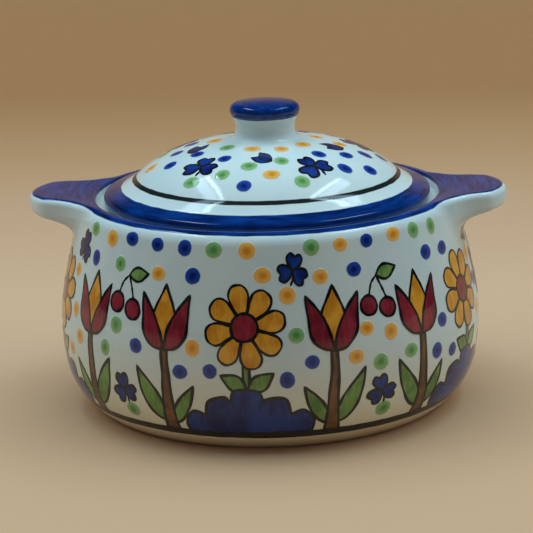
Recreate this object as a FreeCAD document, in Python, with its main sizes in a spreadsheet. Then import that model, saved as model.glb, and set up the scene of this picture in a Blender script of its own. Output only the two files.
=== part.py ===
import FreeCAD, Part
import Sketcher
import math
import os

# Casserole dish of glazed earthenware, in millimetres.
# Origin: the middle of the foot, on the table. +Z is up, the handles lie along X.
# The pot is thrown as one bowl, with a ledge inside the rim that carries the lid. Two solid
# lugs are stuck on outside the rim, and a solid knob is stuck on the collar of the lid.

DIMENSIONS = [
    ("foot_radius", 99.8, "outer edge of the foot"),
    ("foot_inner", 88.0, "inner edge of the ring that stands on the table"),
    ("foot_recess", 2.5, "how far the middle of the base is hollowed"),
    ("foot_round", 1.8, "rounding of the foot's outer edge"),
    ("belly_radius", 120.0, "widest radius, and the radius of the belly's curve"),
    ("belly_height", 48.0, "height of the widest part"),
    ("hip_height", 28.0, "where the belly turns into the lower curve"),
    ("rim_radius", 106.3, "outer radius of the rim, before rounding"),
    ("rim_height", 119.8, "top of the rim"),
    ("rim_outer_round", 8.4, "rounding of the rim's outer edge"),
    ("rim_inner_round", 1.6, "rounding of the rim's inner edge"),
    ("wall", 6.0, "thickness of the pot's wall"),
    ("floor_height", 7.0, "inside floor above the table"),
    ("corner_radius", 24.0, "inside curve between floor and wall"),
    ("neck_height", 101.0, "where the inside wall turns in under the ledge"),
    ("neck_radius", 104.6, "inside radius there"),
    ("throat_radius", 84.0, "opening inside the ledge"),
    ("throat_height", 109.5, "lower edge of the throat"),
    ("throat_round", 1.5, "rounding of the ledge's inner edge"),
    ("ledge_height", 114.5, "the flat ledge that carries the lid"),
    ("mouth_radius", 97.3, "inner radius of the rim"),
    ("ledge_round", 1.6, "fillet between the ledge and the rim's inner wall"),
    ("seat_inner", 84.6, "inner radius of the lid's seat"),
    ("seat_outer", 89.5, "outer radius of the lid's seat"),
    ("lid_radius", 92.7, "widest radius of the lid"),
    ("lid_edge_low", 117.0, "lower corner of the lid's edge, before rounding"),
    ("lid_edge_high", 121.6, "upper corner of the lid's edge, before rounding"),
    ("lid_edge_round", 2.7, "rounding of the lid's edge"),
    ("band_radius", 82.9, "where the lid's flat edge turns up"),
    ("band_height", 124.2, "height there"),
    ("band_round", 14.0, "soft hollow between the lid's edge and its band"),
    ("crease_radius", 75.0, "where the dome starts"),
    ("crease_height", 129.5, "height there"),
    ("shoulder_curve", 71.4, "radius of the dome's shoulder"),
    ("crown_curve", 168.0, "radius of the dome's crown"),
    ("crown_height", 151.8, "where the crown would meet the axis"),
    ("lid_wall", 6.0, "thickness of the lid"),
    ("inner_radius", 71.1, "where the dome starts on the inside"),
    ("inner_height", 125.0, "height there"),
    ("collar_radius", 16.8, "radius of the collar under the knob"),
    ("collar_top", 157.5, "joint between collar and knob"),
    ("collar_round", 5.6, "fillet between the collar and the dome"),
    ("waist_curve", 9.5, "radius of the hollow curve above the joint"),
    ("knob_radius", 19.8, "widest radius of the knob"),
    ("knob_height", 167.0, "height of its widest part"),
    ("knob_edge", 3.7, "rounding of the knob's upper edge"),
    ("knob_top", 171.8, "top of the knob"),
    ("lug_end", 138.4, "end of a handle's section, past its tip"),
    ("lug_end_top", 121.8, "top of the section there"),
    ("lug_end_under", 111.5, "underside of the section there"),
    ("lug_top_curve", 160.0, "radius of the handle's gently domed top"),
    ("lug_under_curve", 60.0, "radius of the hollow underside"),
    ("lug_reach", 136.0, "tip of a handle, from the pot's axis"),
    ("lug_corner_at", 120.5, "centre of a handle's corner, from the pot's axis"),
    ("lug_corner_side", 15.9, "centre of that corner, from the handle's middle"),
    ("lug_corner_round", 10.0, "radius of a handle's corners"),
    ("lug_taper", 17.0, "angle of each side to the handle's middle, in degrees"),
    ("lug_root", 90.0, "inner end of the sides, inside the pot"),
    ("lug_swing", 80.0, "angle about the axis that the section is turned through"),
    ("lug_frame", 200.0, "radius of the waste that is cut away round a handle"),
    ("lug_top_round", 3.8, "rounding of a handle's upper edge"),
    ("lug_under_round", 3.4, "rounding of a handle's lower edge"),
]
VALUE = {name: value for name, value, note in DIMENSIONS}
ORIGIN = (-1, 1)
AXIS_X = -1
AXIS_Z = -2
START, END, CENTRE = 1, 2, 3
EDGE_MATCH = 0.5


def make_sheet(doc):
    """The driving dimensions, one alias each."""
    sheet = doc.addObject("Spreadsheet::Sheet", "Dimensions")
    for row, (name, value, note) in enumerate(DIMENSIONS, start=1):
        sheet.set("A%d" % row, note)
        sheet.set("B%d" % row, str(value))
        sheet.setAlias("B%d" % row, name)
    doc.recompute()
    return sheet


def cell(name):
    return "Dimensions." + name


def angle_to(centre, target):
    return math.degrees(math.atan2(target[1] - centre[1], target[0] - centre[0]))


def polar(centre, radius, angle):
    """The point at a distance and an angle in degrees from a centre."""
    return (centre[0] + radius * math.cos(math.radians(angle)),
            centre[1] + radius * math.sin(math.radians(angle)))


def touch_angle(centre, radius, target):
    """The angle at which a line that leans in from above a target touches a circle."""
    reach = math.hypot(target[0] - centre[0], target[1] - centre[1])
    return angle_to(centre, target) - math.degrees(math.acos(radius / reach))


def circles_meet(centre_a, radius_a, centre_b, radius_b):
    """Where two circles cross, on the left of the way from a to b."""
    dx, dy = centre_b[0] - centre_a[0], centre_b[1] - centre_a[1]
    gap = math.hypot(dx, dy)
    along = (radius_a ** 2 - radius_b ** 2 + gap ** 2) / (2 * gap)
    across = math.sqrt(radius_a ** 2 - along ** 2)
    return (centre_a[0] + (along * dx - across * dy) / gap,
            centre_a[1] + (along * dy + across * dx) / gap)


class Run:
    """One piece of an outline: its number in the sketch and its ends in the order of travel."""

    def __init__(self, piece, first=START, last=END):
        self.piece = piece
        self.first = first
        self.last = last

    def begin(self):
        return self.piece, self.first

    def finish(self):
        return self.piece, self.last


class Outline:
    """A closed sketch on one of a body's own origin planes."""

    def __init__(self, body, name, role):
        self.sketch = body.newObject("Sketcher::SketchObject", name)
        plane = [f for f in body.Origin.OriginFeatures if f.Role == role][0]
        self.sketch.AttachmentSupport = [(plane, "")]
        self.sketch.MapMode = "FlatFace"

    def line(self, a, b):
        start, end = FreeCAD.Vector(*a, 0), FreeCAD.Vector(*b, 0)
        return Run(self.sketch.addGeometry(Part.LineSegment(start, end), False))

    def arc(self, centre, radius, first, last):
        """An arc from one angle to another, in degrees; a falling angle runs clockwise."""
        middle = FreeCAD.Vector(*centre, 0)
        circle = Part.Circle(middle, FreeCAD.Vector(0, 0, 1), radius)
        low, high = math.radians(min(first, last)), math.radians(max(first, last))
        piece = self.sketch.addGeometry(Part.ArcOfCircle(circle, low, high), False)
        return Run(piece) if last > first else Run(piece, END, START)

    def circle(self, centre, radius, guide=False):
        middle = FreeCAD.Vector(*centre, 0)
        circle = Part.Circle(middle, FreeCAD.Vector(0, 0, 1), radius)
        return Run(self.sketch.addGeometry(circle, guide))

    def guide_point(self, place):
        return Run(self.sketch.addGeometry(Part.Point(FreeCAD.Vector(*place, 0)), True))

    def rule(self, kind, *where):
        self.sketch.addConstraint(Sketcher.Constraint(kind, *where))

    def close(self, runs, smooth=()):
        """Joins each run to the next one, and tangentially after those listed in smooth."""
        for number, run in enumerate(runs):
            following = runs[(number + 1) % len(runs)]
            kind = "Tangent" if run in smooth else "Coincident"
            self.rule(kind, *run.finish(), *following.begin())

    def size(self, kind, name, expression, value, *where):
        """A dimension with a name of its own, bound to the sheet."""
        index = self.sketch.addConstraint(Sketcher.Constraint(kind, *where, value))
        self.sketch.renameConstraint(index, name)
        self.sketch.setExpression("Constraints." + name, expression)

    def radius(self, alias, run):
        self.size("Radius", alias, cell(alias), VALUE[alias], run.piece)

    def across(self, alias, target):
        self.size("DistanceX", alias, cell(alias), VALUE[alias], *ORIGIN, *target)

    def up(self, alias, target):
        self.size("DistanceY", alias, cell(alias), VALUE[alias], *ORIGIN, *target)


def turned(body, kind, name, outline):
    """Turns an outline on the XZ plane once about the upright axis."""
    feature = body.newObject(kind, name)
    feature.Profile = outline.sketch
    feature.ReferenceAxis = (outline.sketch, ["V_Axis"])
    feature.Angle = 360.0
    outline.sketch.Visibility = False
    return feature


def round_rings(doc, body, name, alias, rings):
    """Rounds the circular edges about the axis at the given radii and heights."""
    doc.recompute()
    base = body.Tip
    edges = []
    for number, edge in enumerate(base.Shape.Edges, start=1):
        if edge.Degenerated or not isinstance(edge.Curve, Part.Circle):
            continue
        centre = edge.Curve.Center
        if math.hypot(centre.x, centre.y) > EDGE_MATCH:
            continue
        for radius, height in rings:
            if math.hypot(edge.Curve.Radius - radius, centre.z - height) < EDGE_MATCH:
                edges.append("Edge%d" % number)
    if len(edges) != len(rings):
        raise RuntimeError("%s finds %d edges, not %d" % (name, len(edges), len(rings)))
    fillet = body.newObject("PartDesign::Fillet", name)
    fillet.Base = (base, edges)
    fillet.setExpression("Radius", cell(alias))
    doc.recompute()


def corner(radius_alias, height_alias):
    return VALUE[radius_alias], VALUE[height_alias]


def belly_centre():
    return 0.0, VALUE["belly_height"]


def pot_outside(body):
    """The pot as a solid: foot, lower curve, round belly and leaning wall."""
    belly, belly_radius = belly_centre(), VALUE["belly_radius"]
    foot = (VALUE["foot_radius"], 0.0)
    rim = corner("rim_radius", "rim_height")
    drop = VALUE["hip_height"] - belly[1]
    hip = (math.sqrt(belly_radius ** 2 - drop ** 2), VALUE["hip_height"])
    hip_angle = angle_to(belly, hip)
    way = (hip[0] - foot[0], hip[1] - foot[1])
    outward = polar((0, 0), 1, hip_angle)
    lower_radius = (way[0] ** 2 + way[1] ** 2) / (2 * (way[0] * outward[0] + way[1] * outward[1]))
    lower = polar(hip, -lower_radius, hip_angle)
    lean = touch_angle(belly, belly_radius, rim)

    outline = Outline(body, "pot_outline", "XZ_Plane")
    base = outline.line((0, 0), foot)
    curve = outline.arc(lower, lower_radius, angle_to(lower, foot), hip_angle)
    round_part = outline.arc(belly, belly_radius, hip_angle, lean)
    wall = outline.line(polar(belly, belly_radius, lean), rim)
    top = outline.line(rim, (0, rim[1]))
    middle = outline.line((0, rim[1]), (0, 0))
    outline.close([base, curve, round_part, wall, top, middle], smooth=[curve, round_part])
    outline.rule("Coincident", *base.begin(), *ORIGIN)
    outline.rule("Horizontal", base.piece)
    outline.rule("Horizontal", top.piece)
    outline.rule("Vertical", middle.piece)
    outline.rule("PointOnObject", round_part.piece, CENTRE, AXIS_Z)
    outline.up("belly_height", (round_part.piece, CENTRE))
    outline.radius("belly_radius", round_part)
    outline.across("foot_radius", base.finish())
    outline.up("hip_height", curve.finish())
    outline.across("rim_radius", wall.finish())
    outline.up("rim_height", wall.finish())
    turned(body, "PartDesign::Revolution", "outside", outline)


def pot_inside(body):
    """Hollows the pot: floor, round corner, belly, and in under the ledge to the throat."""
    belly, radius = belly_centre(), VALUE["belly_radius"] - VALUE["wall"]
    floor, corner_radius = VALUE["floor_height"], VALUE["corner_radius"]
    rise = floor + corner_radius - belly[1]
    turn_in = (math.sqrt((radius - corner_radius) ** 2 - rise ** 2), floor + corner_radius)
    hip_angle = angle_to(belly, turn_in)
    neck = corner("neck_radius", "neck_height")
    lean = touch_angle(belly, radius, neck)
    throat = corner("throat_radius", "throat_height")
    mouth = corner("throat_radius", "rim_height")

    outline = Outline(body, "cavity_outline", "XZ_Plane")
    base = outline.line((0, floor), (turn_in[0], floor))
    curve = outline.arc(turn_in, corner_radius, -90, hip_angle)
    round_part = outline.arc(belly, radius, hip_angle, lean)
    wall = outline.line(polar(belly, radius, lean), neck)
    under = outline.line(neck, throat)
    passage = outline.line(throat, mouth)
    top = outline.line(mouth, (0, mouth[1]))
    middle = outline.line((0, mouth[1]), (0, floor))
    outline.close([base, curve, round_part, wall, under, passage, top, middle],
                  smooth=[base, curve, round_part])
    outline.rule("Horizontal", base.piece)
    outline.rule("Vertical", passage.piece)
    outline.rule("Horizontal", top.piece)
    outline.rule("PointOnObject", *base.begin(), AXIS_Z)
    outline.rule("PointOnObject", *top.finish(), AXIS_Z)
    outline.rule("PointOnObject", round_part.piece, CENTRE, AXIS_Z)
    outline.up("floor_height", base.begin())
    outline.up("belly_height", (round_part.piece, CENTRE))
    outline.size("Radius", "belly_inside", cell("belly_radius") + " - " + cell("wall"),
                 radius, round_part.piece)
    outline.radius("corner_radius", curve)
    outline.across("neck_radius", wall.finish())
    outline.up("neck_height", wall.finish())
    outline.across("throat_radius", under.finish())
    outline.up("throat_height", under.finish())
    outline.up("rim_height", top.begin())
    turned(body, "PartDesign::Groove", "cavity", outline)


def round_pocket(body, name, radius_alias, depth, level=None):
    """A round pocket on the axis: down from a level of the sheet, or up from the table."""
    outline = Outline(body, name + "_outline", "XY_Plane")
    disc = outline.circle((0, 0), VALUE[radius_alias])
    outline.rule("Coincident", disc.piece, CENTRE, *ORIGIN)
    outline.radius(radius_alias, disc)
    outline.sketch.Visibility = False
    pocket = body.newObject("PartDesign::Pocket", name)
    pocket.Profile = outline.sketch
    pocket.setExpression("Length", depth)
    if level is None:
        pocket.Reversed = True
    else:
        outline.sketch.setExpression("AttachmentOffset.Base.z", cell(level))


def make_pot(doc):
    """The bowl with its rim, the ledge for the lid and the foot."""
    body = doc.addObject("PartDesign::Body", "pot_bowl")
    body.Label = "pot_bowl"
    pot_outside(body)
    pot_inside(body)
    round_pocket(body, "gallery", "mouth_radius",
                 cell("rim_height") + " - " + cell("ledge_height"), "rim_height")
    round_pocket(body, "base_hollow", "foot_inner", cell("foot_recess"))
    round_rings(doc, body, "rim_outer", "rim_outer_round", [corner("rim_radius", "rim_height")])
    round_rings(doc, body, "rim_inner", "rim_inner_round", [corner("mouth_radius", "rim_height")])
    round_rings(doc, body, "ledge_corner", "ledge_round", [corner("mouth_radius", "ledge_height")])
    round_rings(doc, body, "throat_edge", "throat_round",
                [corner("throat_radius", "ledge_height"), corner("throat_radius", "throat_height")])
    round_rings(doc, body, "foot_edge", "foot_round", [(VALUE["foot_radius"], 0.0)])
    return body


def lug_section(body):
    """A handle cut along its middle, from the pot's own wall out to its end."""
    belly, belly_radius = belly_centre(), VALUE["belly_radius"]
    rim = corner("rim_radius", "rim_height")
    lean = touch_angle(belly, belly_radius, rim)
    outward = polar((0, 0), 1, lean)
    rim_round = VALUE["rim_outer_round"]
    level = rim[1] - rim_round
    inset = rim_round * (1 - outward[1]) / outward[0]
    rim_centre = (rim[0] - inset, level)
    crown_edge = polar(rim_centre, rim_round, 90)

    hollow_radius = VALUE["lug_under_curve"]
    hollow = (VALUE["lug_end"], VALUE["lug_end_under"] - hollow_radius)
    back = (rim[0] - hollow[0]) * outward[0] + (rim[1] - hollow[1]) * outward[1]
    meet = lean + math.degrees(math.acos(back / hollow_radius))
    end_top = corner("lug_end", "lug_end_top")
    dome = circles_meet(end_top, VALUE["lug_top_curve"], crown_edge, VALUE["lug_top_curve"])

    outline = Outline(body, "section_outline", "XZ_Plane")
    under = outline.arc(hollow, hollow_radius, meet, 90)
    end = outline.line(polar(hollow, hollow_radius, 90), end_top)
    top = outline.arc(dome, VALUE["lug_top_curve"], angle_to(dome, end_top),
                      angle_to(dome, crown_edge))
    rim_edge = outline.arc(rim_centre, rim_round, 90, lean)
    wall = outline.line(polar(rim_centre, rim_round, lean), polar(hollow, hollow_radius, meet))
    outline.close([under, end, top, rim_edge, wall], smooth=[rim_edge])
    belly_guide = outline.circle(belly, belly_radius, guide=True)
    rim_guide = outline.guide_point(rim)
    outline.rule("PointOnObject", belly_guide.piece, CENTRE, AXIS_Z)
    outline.up("belly_height", (belly_guide.piece, CENTRE))
    outline.radius("belly_radius", belly_guide)
    outline.across("rim_radius", rim_guide.begin())
    outline.up("rim_height", rim_guide.begin())
    outline.rule("PointOnObject", *rim_guide.begin(), wall.piece)
    outline.rule("Tangent", wall.piece, belly_guide.piece)
    outline.radius("rim_outer_round", rim_edge)
    outline.rule("Vertical", *rim_edge.begin(), rim_edge.piece, CENTRE)
    outline.rule("Horizontal", *rim_edge.begin(), *rim_guide.begin())
    outline.radius("lug_under_curve", under)
    outline.rule("Vertical", end.piece)
    outline.rule("Vertical", under.piece, CENTRE, *under.finish())
    outline.across("lug_end", end.begin())
    outline.up("lug_end_under", end.begin())
    outline.up("lug_end_top", end.finish())
    outline.radius("lug_top_curve", top)
    section = turned(body, "PartDesign::Revolution", "section", outline)
    section.setExpression("Angle", cell("lug_swing"))
    section.Midplane = True


def lug_plan(body):
    """Cuts the turned section to a handle's shape seen from above."""
    taper = math.radians(VALUE["lug_taper"])
    corner_round = VALUE["lug_corner_round"]
    corner_centre = corner("lug_corner_at", "lug_corner_side")
    side_angle = 90 - VALUE["lug_taper"]
    side_end = polar(corner_centre, corner_round, side_angle)
    root = VALUE["lug_root"]
    side_start = (root, side_end[1] + (side_end[0] - root) * math.tan(taper))
    tip = VALUE["lug_reach"]
    offset = tip - corner_round - corner_centre[0]
    tip_radius = corner_round + (offset ** 2 + corner_centre[1] ** 2) / (2 * offset)
    tip_centre = (tip - tip_radius, 0.0)
    tip_angle = angle_to(tip_centre, corner_centre)

    outline = Outline(body, "plan_outline", "XY_Plane")
    side_low = outline.line((root, -side_start[1]), (side_end[0], -side_end[1]))
    corner_low = outline.arc((corner_centre[0], -corner_centre[1]), corner_round,
                             -side_angle, -tip_angle)
    tip_arc = outline.arc(tip_centre, tip_radius, -tip_angle, tip_angle)
    corner_high = outline.arc(corner_centre, corner_round, tip_angle, side_angle)
    side_high = outline.line(side_end, side_start)
    root_line = outline.line(side_start, (root, -side_start[1]))
    outline.close([side_low, corner_low, tip_arc, corner_high, side_high, root_line],
                  smooth=[side_low, corner_low, tip_arc, corner_high])
    outline.rule("Symmetric", *side_low.begin(), *side_high.finish(), AXIS_X)
    outline.rule("Symmetric", corner_low.piece, CENTRE, corner_high.piece, CENTRE, AXIS_X)
    outline.rule("Equal", corner_low.piece, corner_high.piece)
    outline.radius("lug_corner_round", corner_high)
    outline.across("lug_corner_at", (corner_high.piece, CENTRE))
    outline.up("lug_corner_side", (corner_high.piece, CENTRE))
    outline.across("lug_root", side_low.begin())
    outline.size("Angle", "lug_taper", cell("lug_taper"), taper, side_low.piece)
    tip_guide = outline.guide_point((tip, 0.0))
    outline.rule("PointOnObject", *tip_guide.begin(), AXIS_X)
    outline.rule("PointOnObject", *tip_guide.begin(), tip_arc.piece)
    outline.across("lug_reach", tip_guide.begin())
    frame = outline.circle((0, 0), VALUE["lug_frame"])
    outline.rule("Coincident", frame.piece, CENTRE, *ORIGIN)
    outline.radius("lug_frame", frame)
    outline.sketch.Visibility = False
    waste = body.newObject("PartDesign::Pocket", "waste")
    waste.Profile = outline.sketch
    waste.Reversed = True
    waste.setExpression("Length", cell("lug_frame"))


def round_lug(doc, body, name, alias, low, high):
    """Rounds the curved edges round a handle whose middles lie between two heights."""
    doc.recompute()
    base = body.Tip
    edges = []
    for number, edge in enumerate(base.Shape.Edges, start=1):
        middle = edge.valueAt((edge.FirstParameter + edge.LastParameter) / 2)
        if isinstance(edge.Curve, Part.BSplineCurve) and low < middle.z < high:
            edges.append("Edge%d" % number)
    fillet = body.newObject("PartDesign::Fillet", name)
    fillet.Base = (base, edges)
    fillet.setExpression("Radius", cell(alias))
    doc.recompute()


def make_lug(doc, name, angle):
    """A solid handle; angle turns it about the upright axis to its side of the pot."""
    body = doc.addObject("PartDesign::Body", name)
    body.Label = name
    body.Placement = FreeCAD.Placement(FreeCAD.Vector(), FreeCAD.Rotation(angle, 0, 0))
    lug_section(body)
    lug_plan(body)
    level = VALUE["rim_height"]
    round_lug(doc, body, "upper_edge", "lug_top_round", level, level + VALUE["wall"])
    round_lug(doc, body, "lower_edge", "lug_under_round", VALUE["neck_height"],
              VALUE["lug_end_under"])
    return body


def lid_outside(body):
    """The lid as a solid: seat, edge, band, shoulder and crown."""
    shoulder_radius, crown_radius = VALUE["shoulder_curve"], VALUE["crown_curve"]
    crease = corner("crease_radius", "crease_height")
    crown = (0.0, VALUE["crown_height"] - crown_radius)
    shoulder = circles_meet(crown, crown_radius - shoulder_radius, crease, shoulder_radius)
    meet = angle_to(crown, shoulder)
    collar = VALUE["collar_radius"]
    collar_angle = math.degrees(math.acos(collar / crown_radius))
    seat = corner("seat_outer", "ledge_height")
    low, high = corner("lid_radius", "lid_edge_low"), corner("lid_radius", "lid_edge_high")
    band = corner("band_radius", "band_height")
    top = corner("collar_radius", "collar_top")

    outline = Outline(body, "lid_outline", "XZ_Plane")
    base = outline.line((0, seat[1]), seat)
    bevel = outline.line(seat, low)
    edge = outline.line(low, high)
    flat = outline.line(high, band)
    rise = outline.line(band, crease)
    curve = outline.arc(shoulder, shoulder_radius, angle_to(shoulder, crease), meet)
    cap = outline.arc(crown, crown_radius, meet, collar_angle)
    side = outline.line(polar(crown, crown_radius, collar_angle), top)
    joint = outline.line(top, (0, top[1]))
    middle = outline.line((0, top[1]), (0, seat[1]))
    outline.close([base, bevel, edge, flat, rise, curve, cap, side, joint, middle],
                  smooth=[curve])
    outline.rule("Horizontal", base.piece)
    outline.rule("Horizontal", joint.piece)
    outline.rule("Vertical", side.piece)
    outline.rule("PointOnObject", *middle.begin(), AXIS_Z)
    outline.rule("PointOnObject", *middle.finish(), AXIS_Z)
    outline.rule("PointOnObject", cap.piece, CENTRE, AXIS_Z)
    outline.across("seat_outer", base.finish())
    outline.up("ledge_height", base.finish())
    outline.across("lid_radius", edge.begin())
    outline.up("lid_edge_low", edge.begin())
    outline.rule("Vertical", edge.piece)
    outline.up("lid_edge_high", edge.finish())
    outline.across("band_radius", flat.finish())
    outline.up("band_height", flat.finish())
    outline.across("crease_radius", rise.finish())
    outline.up("crease_height", rise.finish())
    outline.radius("shoulder_curve", curve)
    outline.radius("crown_curve", cap)
    outline.size("DistanceY", "crown_height",
                 cell("crown_height") + " - " + cell("crown_curve"), crown[1],
                 *ORIGIN, cap.piece, CENTRE)
    outline.across("collar_radius", joint.begin())
    outline.up("collar_top", joint.begin())
    turned(body, "PartDesign::Revolution", "outside", outline)


def lid_inside(body):
    """Hollows the lid to its wall's thickness, open at the seat."""
    wall = VALUE["lid_wall"]
    shoulder_radius = VALUE["shoulder_curve"] - wall
    crown_radius = VALUE["crown_curve"] - wall
    crease = corner("crease_radius", "crease_height")
    crown = (0.0, VALUE["crown_height"] - VALUE["crown_curve"])
    shoulder = circles_meet(crown, VALUE["crown_curve"] - VALUE["shoulder_curve"],
                            crease, VALUE["shoulder_curve"])
    meet = angle_to(crown, shoulder)
    low_angle = angle_to(shoulder, crease)
    seat = corner("seat_inner", "ledge_height")
    start = polar(shoulder, shoulder_radius, low_angle)

    outline = Outline(body, "hollow_outline", "XZ_Plane")
    base = outline.line((0, seat[1]), seat)
    slope = outline.line(seat, start)
    curve = outline.arc(shoulder, shoulder_radius, low_angle, meet)
    cap = outline.arc(crown, crown_radius, meet, 90)
    middle = outline.line(polar(crown, crown_radius, 90), (0, seat[1]))
    outline.close([base, slope, curve, cap, middle], smooth=[curve])
    outline.rule("Horizontal", base.piece)
    outline.rule("PointOnObject", *middle.begin(), AXIS_Z)
    outline.rule("PointOnObject", *middle.finish(), AXIS_Z)
    outline.rule("PointOnObject", cap.piece, CENTRE, AXIS_Z)
    outline.across("seat_inner", base.finish())
    outline.up("ledge_height", base.finish())
    outline.across("inner_radius", slope.finish())
    outline.up("inner_height", slope.finish())
    outline.size("Radius", "shoulder_inside",
                 cell("shoulder_curve") + " - " + cell("lid_wall"), shoulder_radius, curve.piece)
    outline.size("Radius", "crown_inside",
                 cell("crown_curve") + " - " + cell("lid_wall"), crown_radius, cap.piece)
    outline.size("DistanceY", "crown_height",
                 cell("crown_height") + " - " + cell("crown_curve"), crown[1],
                 *ORIGIN, cap.piece, CENTRE)
    turned(body, "PartDesign::Groove", "hollow", outline)


def make_lid(doc):
    """The domed lid with its seat, its rolled edge and the collar that carries the knob."""
    body = doc.addObject("PartDesign::Body", "lid_dome")
    body.Label = "lid_dome"
    lid_outside(body)
    lid_inside(body)
    crown_level = VALUE["crown_height"] - VALUE["crown_curve"] + math.sqrt(
        VALUE["crown_curve"] ** 2 - VALUE["collar_radius"] ** 2)
    round_rings(doc, body, "edge_rounding", "lid_edge_round",
                [corner("lid_radius", "lid_edge_low"), corner("lid_radius", "lid_edge_high")])
    round_rings(doc, body, "band_hollow", "band_round", [corner("band_radius", "band_height")])
    round_rings(doc, body, "collar_hollow", "collar_round",
                [(VALUE["collar_radius"], crown_level)])
    return body


def make_knob(doc):
    """The button knob: a waist that swells to a rounded, nearly flat top."""
    body = doc.addObject("PartDesign::Body", "lid_knob")
    body.Label = "lid_knob"
    foot = corner("collar_radius", "collar_top")
    wide = corner("knob_radius", "knob_height")
    waist_radius, edge_radius = VALUE["waist_curve"], VALUE["knob_edge"]
    rise = wide[1] - foot[1]
    swell = wide[0] - foot[0]
    flank_radius = (rise ** 2 + swell ** 2) / (2 * swell) - waist_radius
    waist = (foot[0] + waist_radius, foot[1])
    flank = (wide[0] - flank_radius, wide[1])
    meet = angle_to(flank, waist)
    edge_centre = (wide[0] - edge_radius, wide[1])
    height = VALUE["knob_top"] - edge_centre[1]
    crown_radius = (height ** 2 + edge_centre[0] ** 2 - edge_radius ** 2) / (
        2 * (height - edge_radius))
    crown = (0.0, VALUE["knob_top"] - crown_radius)
    crown_angle = angle_to(crown, edge_centre)

    outline = Outline(body, "knob_outline", "XZ_Plane")
    base = outline.line((0, foot[1]), foot)
    neck = outline.arc(waist, waist_radius, 180, 180 + meet)
    side = outline.arc(flank, flank_radius, meet, 0)
    edge = outline.arc(edge_centre, edge_radius, 0, crown_angle)
    cap = outline.arc(crown, crown_radius, crown_angle, 90)
    middle = outline.line((0, VALUE["knob_top"]), (0, foot[1]))
    outline.close([base, neck, side, edge, cap, middle], smooth=[neck, side, edge])
    outline.rule("Horizontal", base.piece)
    outline.rule("Horizontal", *neck.begin(), neck.piece, CENTRE)
    outline.rule("Horizontal", side.piece, CENTRE, *side.finish())
    outline.rule("PointOnObject", *middle.begin(), AXIS_Z)
    outline.rule("PointOnObject", *middle.finish(), AXIS_Z)
    outline.rule("PointOnObject", cap.piece, CENTRE, AXIS_Z)
    outline.across("collar_radius", base.finish())
    outline.up("collar_top", base.finish())
    outline.radius("waist_curve", neck)
    outline.across("knob_radius", side.finish())
    outline.up("knob_height", side.finish())
    outline.radius("knob_edge", edge)
    outline.up("knob_top", middle.begin())
    turned(body, "PartDesign::Revolution", "button", outline)
    return body


def check(doc, parts):
    """Stops if anything in the document failed, or a part has no sound single solid."""
    for item in doc.Objects:
        if "Invalid" in item.State or "Error" in item.State:
            raise RuntimeError("%s failed: %s" % (item.Name, item.State))
        if item.TypeId == "Sketcher::SketchObject" and not item.FullyConstrained:
            raise RuntimeError("%s isn't fully constrained" % item.Name)
    for part in parts:
        shape = part.Shape
        if shape.isNull() or not shape.isValid() or len(shape.Solids) != 1:
            raise RuntimeError("%s is not one sound solid" % part.Label)
        print("%-14s %9.1f mm3  %s" % (part.Label, shape.Volume, shape.optimalBoundingBox()))


doc = FreeCAD.newDocument("casserole_dish")
make_sheet(doc)
parts = [make_pot(doc), make_lug(doc, "right_handle", 0), make_lug(doc, "left_handle", 180),
         make_lid(doc), make_knob(doc)]
doc.recompute()
check(doc, parts)
os.makedirs("parts", exist_ok=True)
for part in parts:
    part.Shape.exportStep("parts/%s.step" % part.Label)
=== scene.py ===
import math

import bpy
import numpy as np
from mathutils import Matrix, Vector
from mathutils.geometry import delaunay_2d_cdt


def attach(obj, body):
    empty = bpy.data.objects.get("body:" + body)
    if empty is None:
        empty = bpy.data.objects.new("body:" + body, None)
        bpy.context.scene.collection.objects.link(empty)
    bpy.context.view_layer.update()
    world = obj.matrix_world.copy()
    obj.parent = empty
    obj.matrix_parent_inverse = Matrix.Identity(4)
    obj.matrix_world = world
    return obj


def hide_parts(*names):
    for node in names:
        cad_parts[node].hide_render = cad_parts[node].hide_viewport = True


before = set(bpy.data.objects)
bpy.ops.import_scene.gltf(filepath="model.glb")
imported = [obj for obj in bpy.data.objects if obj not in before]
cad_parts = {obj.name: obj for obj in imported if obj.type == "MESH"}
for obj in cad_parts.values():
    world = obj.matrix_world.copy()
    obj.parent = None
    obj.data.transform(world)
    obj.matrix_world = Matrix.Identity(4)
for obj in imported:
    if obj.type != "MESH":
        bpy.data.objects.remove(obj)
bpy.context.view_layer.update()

MM = 0.001
FULL_TURN = 2 * math.pi


def colour(red, green, blue):
    """A screen colour of 0 to 255 as the shader's own."""
    return tuple((part / 255 / 12.92 if part / 255 <= 0.04045
                  else ((part / 255 + 0.055) / 1.055) ** 2.4)
                 for part in (red, green, blue)) + (1.0,)


# The pot's section, in millimetres.
FOOT_RADIUS = 99.8
FOOT_INNER = 88.0
FOOT_RECESS = 2.5
FOOT_ROUND = 1.8
FOOT_INNER_ROUND = 0.8
BELLY_RADIUS = 119.72
BELLY_HEIGHT = 48.0
BELLY = (0.0, BELLY_HEIGHT)
HIP_HEIGHT = 28.0
RIM = (106.3, 119.8)
RIM_OUTER_ROUND = 8.4
RIM_INNER_ROUND = 1.6
WALL = 6.0
FLOOR_HEIGHT = 7.0
CORNER_RADIUS = 24.0
NECK = (104.6, 101.0)
NECK_ROUND = 3.0
THROAT_RADIUS = 84.0
THROAT_HEIGHT = 109.5
THROAT_UNDER_ROUND = 1.0
THROAT_ROUND = 1.5
LEDGE_HEIGHT = 114.5
MOUTH_RADIUS = 97.3
LEDGE_ROUND = 1.6

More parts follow.
